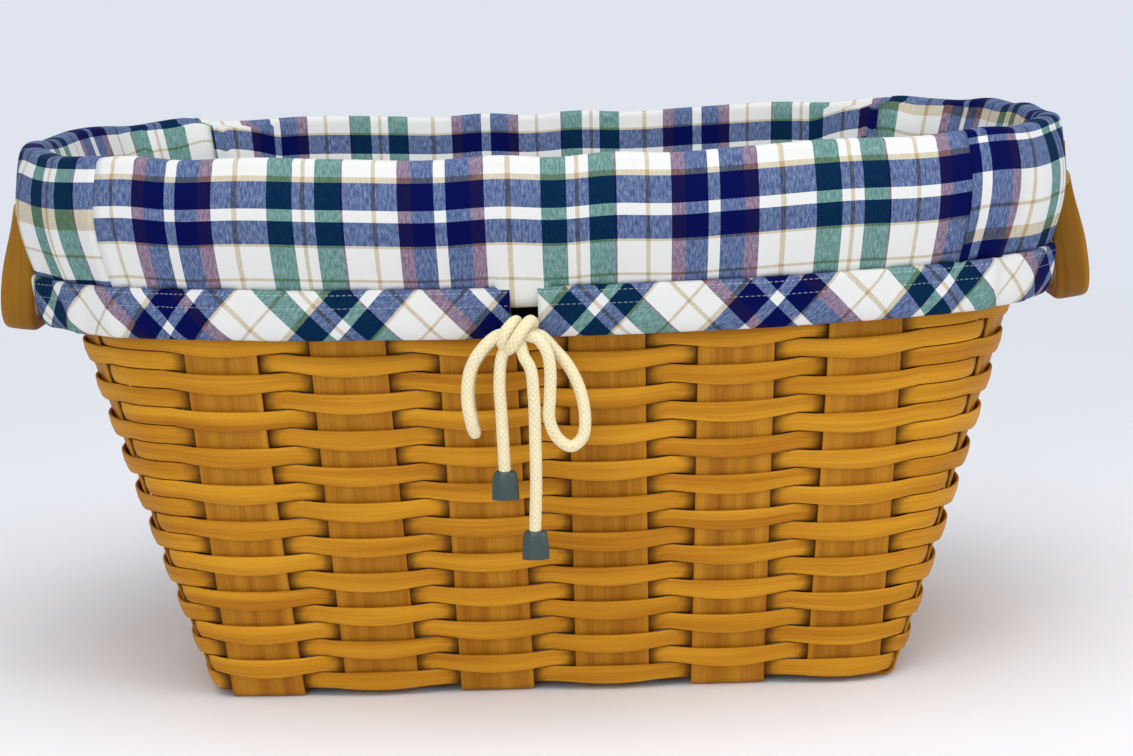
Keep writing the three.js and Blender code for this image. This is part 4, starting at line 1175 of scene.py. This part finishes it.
        # the edge is sewn to the feet of the wall panels, with corners as round as theirs
        mid_side = (sizes.cross_splints - 1) / 2
        mid_end = sizes.cross_splints + (sizes.long_splints - 1) / 2
        half_x = wall.at(height, mid_end).point.x - liner.inside
        half_y = -wall.at(height, mid_side).point.y - liner.inside
        power = self.FLOOR_POWER
        points = []
        for b in spread(-1, 1, self.FLOOR_STEPS[1]):
            row = []
            for a in spread(-1, 1, self.FLOOR_STEPS[0]):
                reach = (a**power + b**power) ** (1 / power)
                trim = max(abs(a), abs(b)) / reach if reach else 1.0
                x, y = a * half_x * trim, b * half_y * trim
                soft = 0.35 * MM * math.sin(x * 61) * math.sin(y * 83 + x * 20)
                row.append(Vector((x, y, height + abs(soft))))
            points.append(row)
        bm = laid_grid(points, [[point.xy for point in row] for row in points])
        piece = finished(bm, "cloth_floor", cotton, "liner_floor")
        thicken(piece, liner.cloth, -1)

    def hem_phases(self, wall, liner):
        """Phases round the wall from the right of the casing's opening to the left of it."""
        height = wall.sizes.height - liner.flap_drop
        edges = []
        for side in (1, -1):
            x = liner.opening_centre + side * liner.opening_width / 2
            low, high = 0.0, wall.sizes.cross_splints - 1.0
            for _ in range(40):
                middle = (low + high) / 2
                if wall.at(height, middle).point.x < x:
                    low = middle
                else:
                    high = middle
            edges.append(low)
        start, end = edges[0], edges[1] + wall.count
        return spread(start, end, round((end - start) * self.COLUMNS))

    def hem_places(self, wall, liner, phases):
        """Top and foot of the casing's middle at each phase, the way out there and the run."""
        high = wall.sizes.height - liner.flap_drop
        rims = [wall.at(wall.sizes.height, phase) for phase in phases]
        runs = run_lengths([rim.point for rim in rims])
        places = []
        for phase, rim, run in zip(phases, rims, runs):
            top, foot = (wall.at(height, phase).point for height in (high, high - liner.hem_height))
            out = rim.out * (self.hem_offset(liner, rim) + self.gather(liner, rim, run) * 0.9)
            places.append((top + out, foot + out, rim.out, run))
        return places

    def hem(self, wall, liner, finish):
        """The casing goes right round; its front is cut away at the opening, and the back left
        there is painted very dark as shadow.
        """
        phases = self.hem_phases(wall, liner)
        phases += spread(phases[-1], phases[0] + wall.count, self.OPENING_STEPS)[1:]
        places = self.hem_places(wall, liner, phases)
        half = liner.hem_thickness / 2 - liner.cloth / 2
        # the strip is eased so that whole repeats, and a part of one, reach round to the opening
        repeat = math.sqrt(2) * sum(width for width, _ in WARP) * MM
        strip = places[-1 - self.OPENING_STEPS][3]
        ease = (math.floor(strip / repeat) + self.HEM_PART) * repeat / strip
        points, uvs = [], []
        for top, foot, out, run in places:
            row = []
            for angle in spread(-math.pi / 2, 3 * math.pi / 2, self.HEM_STEPS):
                across = squared_off(math.cos(angle), 0.65)
                level = squared_off(math.sin(angle), 0.8)
                bulge = 0.82 + 0.18 * smooth(0.5 - 0.9 * level)
                row.append(foot.lerp(top, 0.5 + 0.49 * level) + out * half * across * bulge)
            points.append(row)
            uvs.append([(run * ease, d) for d in run_lengths(row)])
        points[-1] = points[0]
        reach = uvs[0][self.HEM_STEPS // 2][1]
        stitches = [reach - row for row in self.STITCH_ROWS]
        cotton = plaid_cotton(
            "plaid cotton bias", finish, (-9.4, -50.8), (WEFT, WARP), math.radians(45), stitches
        )
        bm = laid_grid(points, uvs, ring=True)
        top, foot, out, _ = places[-1 - self.OPENING_STEPS // 2]
        front = []
        for face in bm.faces:
            centre = face.calc_center_median()
            if centre.y > 0 or abs(centre.x - liner.opening_centre) > liner.opening_width / 2:
                continue
            middle = foot.lerp(top, (centre.z - foot.z) / (top.z - foot.z))
            if (centre - middle).dot(out) > 0:
                front.append(face)
            else:
                # painted shadow: the casing's back inside the opening takes the very dark second
                # material
                face.material_index = 1
        bmesh.ops.delete(bm, geom=front, context="FACES")
        piece = finished(bm, "cord_casing", cotton, "drawstring_hem")
        # the second material is painted shadow, one very dark yarn all over
        piece.data.materials.append(plaid_cotton("black facing", finish, (0, 0), (PAINTED_SHADOW_SETT, PAINTED_SHADOW_SETT)))
        thicken(piece, liner.cloth)

    def drawstring(self, wall, liner, cord):
        places = self.hem_places(wall, liner, self.hem_phases(wall, liner))
        line = [foot.lerp(top, self.CORD_LEVEL) for top, foot, _, _ in places]
        cotton = bpy.data.materials["braided cotton"]
        finished(braided_tube(line, cord, 12), "round_cord", cotton, "drawstring")


class BASKET_OT_handles(bpy.types.Operator):
    """Bend the two handles and set their ears and rivets"""

    bl_idname = "basket.handles"
    bl_label = "Handles"

    LEG_STEPS, BEND_STEPS, GRIP_STEPS, AROUND = 22, 14, 16, 24
    # shares of the way down a leg's rounded end, closer together near its tip
    TIP_SHARES = 0.0, 0.03, 0.1, 0.2, 0.35, 0.5, 0.75
    SECTION_POWER = 0.42
    EAR_EASE, RIVET_EASE = 0.8 * MM, 0.5 * MM

    def execute(self, context):
        settings = context.scene.basket
        handle = settings.handle
        finish = settings.finish
        bentwood = stained_maple("varnished bentwood", finish.handle_pale, finish.handle_deep)
        ear_wood = stained_maple(
            "stained maple block", finish.handle_pale, finish.handle_deep, laid=False
        )
        fittings = (
            ("ear", self.EAR_EASE, ear_wood, "band_wood"),
            ("rivet", self.RIVET_EASE, worn_brass("worn brass", finish.brass), "rivet_brass"),
        )
        pivots = {joint["child"]: Vector(joint["pos_m"]) for joint in frame["joints"]}
        for end, turn in (("right", 0.0), ("left", math.pi)):
            body = end + "_handle"
            tilt = Matrix.Rotation(-handle.rest_tilt, 4, "Y")
            place = Matrix.Translation(pivots[body]) @ Matrix.Rotation(turn, 4, "Z") @ tilt
            bow = self.bow(handle)
            bmesh.ops.transform(bow, matrix=place, verts=bow.verts)
            finished(bow, "bentwood_" + end, bentwood, "handle_" + end, body)
            for side in ("front", "back"):
                for part, ease, material, slot in fittings:
                    name = "%s_%s_%s" % (part, end, side)
                    node = "handle_" + name
                    finished(self.eased_copy(node, ease), name, material, node)
        return {"FINISHED"}

    def bow(self, handle):
        """The bent strip, hanging from the origin in the plane of Y and Z."""
        leg = (handle.span - handle.thickness) / 2
        radius = handle.bend - handle.thickness / 2
        top = handle.end_width / 2
        bottom = -(handle.drop - handle.thickness / 2)
        side = [Vector((0, leg, z)) for z in spread(top, bottom + radius, self.LEG_STEPS)]
        for angle in spread(0, -math.pi / 2, self.BEND_STEPS)[1:]:
            y = leg - radius + radius * math.cos(angle)
            z = bottom + radius + radius * math.sin(angle)
            side.append(Vector((0, y, z)))
        tips = [Vector((0, leg, top * (1 - share))) for share in self.TIP_SHARES]
        half = tips + [point for point in side if point.z < top * 0.1]
        across_grip = spread(leg - radius, radius - leg, self.GRIP_STEPS)
        grip = [Vector((0, y, bottom)) for y in across_grip[1:-1]]
        line = half + grip + [Vector((0, -p.y, p.z)) for p in reversed(half)]
        runs = run_lengths(line)
        points, uvs = [], []
        for index, (point, run) in enumerate(zip(line, runs)):
            ahead = line[min(index + 1, len(line) - 1)] - line[max(index - 1, 0)]
            ahead.normalize()
            across = Vector((1, 0, 0))
            outer = across.cross(ahead)
            from_top = top - point.z
            grow = smooth((from_top - top) / handle.taper)
            width = handle.end_width + (handle.grip_width - handle.end_width) * grow
            if from_top < top:
                width = handle.end_width * math.sqrt(max(0.0, 1 - (1 - from_top / top) ** 2))
            row, uv_row = [], []
            for angle in spread(0, math.tau, self.AROUND):
                u = squared_off(math.cos(angle), self.SECTION_POWER)
                v = squared_off(math.sin(angle), self.SECTION_POWER)
                row.append(point + across * u * width / 2 + outer * v * handle.thickness / 2)
                uv_row.append((run, angle / math.tau * 2 * (handle.grip_width + handle.thickness)))
            points.append(row)
            uvs.append(uv_row)
        bm = laid_grid(points, uvs, ring=True)
        face_outwards(bm)
        return bm

    def eased_copy(self, node, ease):
        """A copy of a solid with its flats joined and its edges rounded."""
        bm = bmesh.new()
        bm.from_mesh(frame["nodes"][node].data)
        bmesh.ops.remove_doubles(bm, verts=bm.verts, dist=0.01 * MM)
        bmesh.ops.dissolve_limit(bm, angle_limit=math.radians(3), verts=bm.verts, edges=bm.edges)
        edges = [edge for edge in bm.edges if edge.calc_face_angle(0) > math.radians(35)]
        bmesh.ops.bevel(
            bm, geom=edges, offset=ease, affect="EDGES", segments=3, profile=0.5, material=-1,
            clamp_overlap=True,
        )
        return bm


class BASKET_OT_stage(bpy.types.Operator):
    """Set the pale floor, the soft lights and the sky"""

    bl_idname = "basket.stage"
    bl_label = "Stage"

    FLOOR_REACH = 20
    # name, place in metres, size, watts
    LIGHTS = (
        ("softbox_over", (0.1, -0.7, 2.0), 1.8, 25),
        ("softbox_front", (-0.7, -2.3, 1.1), 1.5, 17),
        ("softbox_side", (1.7, -0.9, 0.9), 1.2, 8),
        ("softbox_back", (-0.5, 2.2, 1.3), 1.4, 6),
    )
    AIM = Vector((0, 0, 0.15))
    FILL, FILL_STRENGTH = "#E9EEF6", 0.55

    def execute(self, context):
        finish = context.scene.basket.finish
        paper = studio_paper("studio paper", finish.floor, finish.backdrop)
        bm = bmesh.new()
        bmesh.ops.create_grid(bm, x_segments=8, y_segments=8, size=self.FLOOR_REACH)
        mesh = bpy.data.meshes.new("studio_floor")
        bm.to_mesh(mesh)
        bm.free()
        mesh.materials.append(paper)
        floor = bpy.data.objects.new("studio_floor", mesh)
        context.scene.collection.objects.link(floor)
        for name, place, size, watts in self.LIGHTS:
            data = bpy.data.lights.new(name, "AREA")
            data.size = size
            data.energy = watts
            lamp = bpy.data.objects.new(name, data)
            lamp.location = place
            ahead = self.AIM - Vector(place)
            lamp.rotation_euler = ahead.to_track_quat("-Z", "Y").to_euler()
            context.scene.collection.objects.link(lamp)
        world = bpy.data.worlds.new("studio")
        world.use_nodes = True
        sky = world.node_tree
        sky.nodes.clear()
        fill = add_node(
            sky, "Background", {"Color": linear(self.FILL), "Strength": self.FILL_STRENGTH}
        )
        beyond = add_node(sky, "Background", {"Color": linear(finish.backdrop)})
        mixed = add_node(sky, "MixShader", {0: seen_rays(sky), 1: fill, 2: beyond})
        add_node(sky, "OutputWorld", {"Surface": mixed})
        context.scene.world = world
        context.scene.view_settings.view_transform = "Standard"
        return {"FINISHED"}


class BASKET_PT_pieces(bpy.types.Panel):
    """Lists the basket's pieces in the order that they are made"""

    bl_idname = "BASKET_PT_pieces"
    bl_label = "Laundry Basket"
    bl_space_type = "VIEW_3D"
    bl_region_type = "UI"
    bl_category = "Basket"

    def draw(self, context):
        for operator in OPERATORS:
            self.layout.operator(operator.bl_idname)


OPERATORS = (
    BASKET_OT_camera,
    BASKET_OT_cord,
    BASKET_OT_splints,
    BASKET_OT_weavers,
    BASKET_OT_liner,
    BASKET_OT_handles,
    BASKET_OT_stage,
)
CLASSES = (
    WallSizes,
    WeaveSizes,
    LinerSizes,
    CordSizes,
    HandleSizes,
    Finishes,
    BasketSettings,
    *OPERATORS,
    BASKET_PT_pieces,
)


def register():
    for item in CLASSES:
        bpy.utils.register_class(item)
    bpy.types.Scene.basket = PointerProperty(type=BasketSettings)


def unregister():
    del bpy.types.Scene.basket
    for item in reversed(CLASSES):
        bpy.utils.unregister_class(item)


def main():
    register()
    bpy.ops.basket.camera()
    bpy.ops.basket.cord()
    bpy.ops.basket.splints()
    bpy.ops.basket.weavers()
    bpy.ops.basket.liner()
    bpy.ops.basket.handles()
    bpy.ops.basket.stage()


if __name__ == "__main__":
    main()
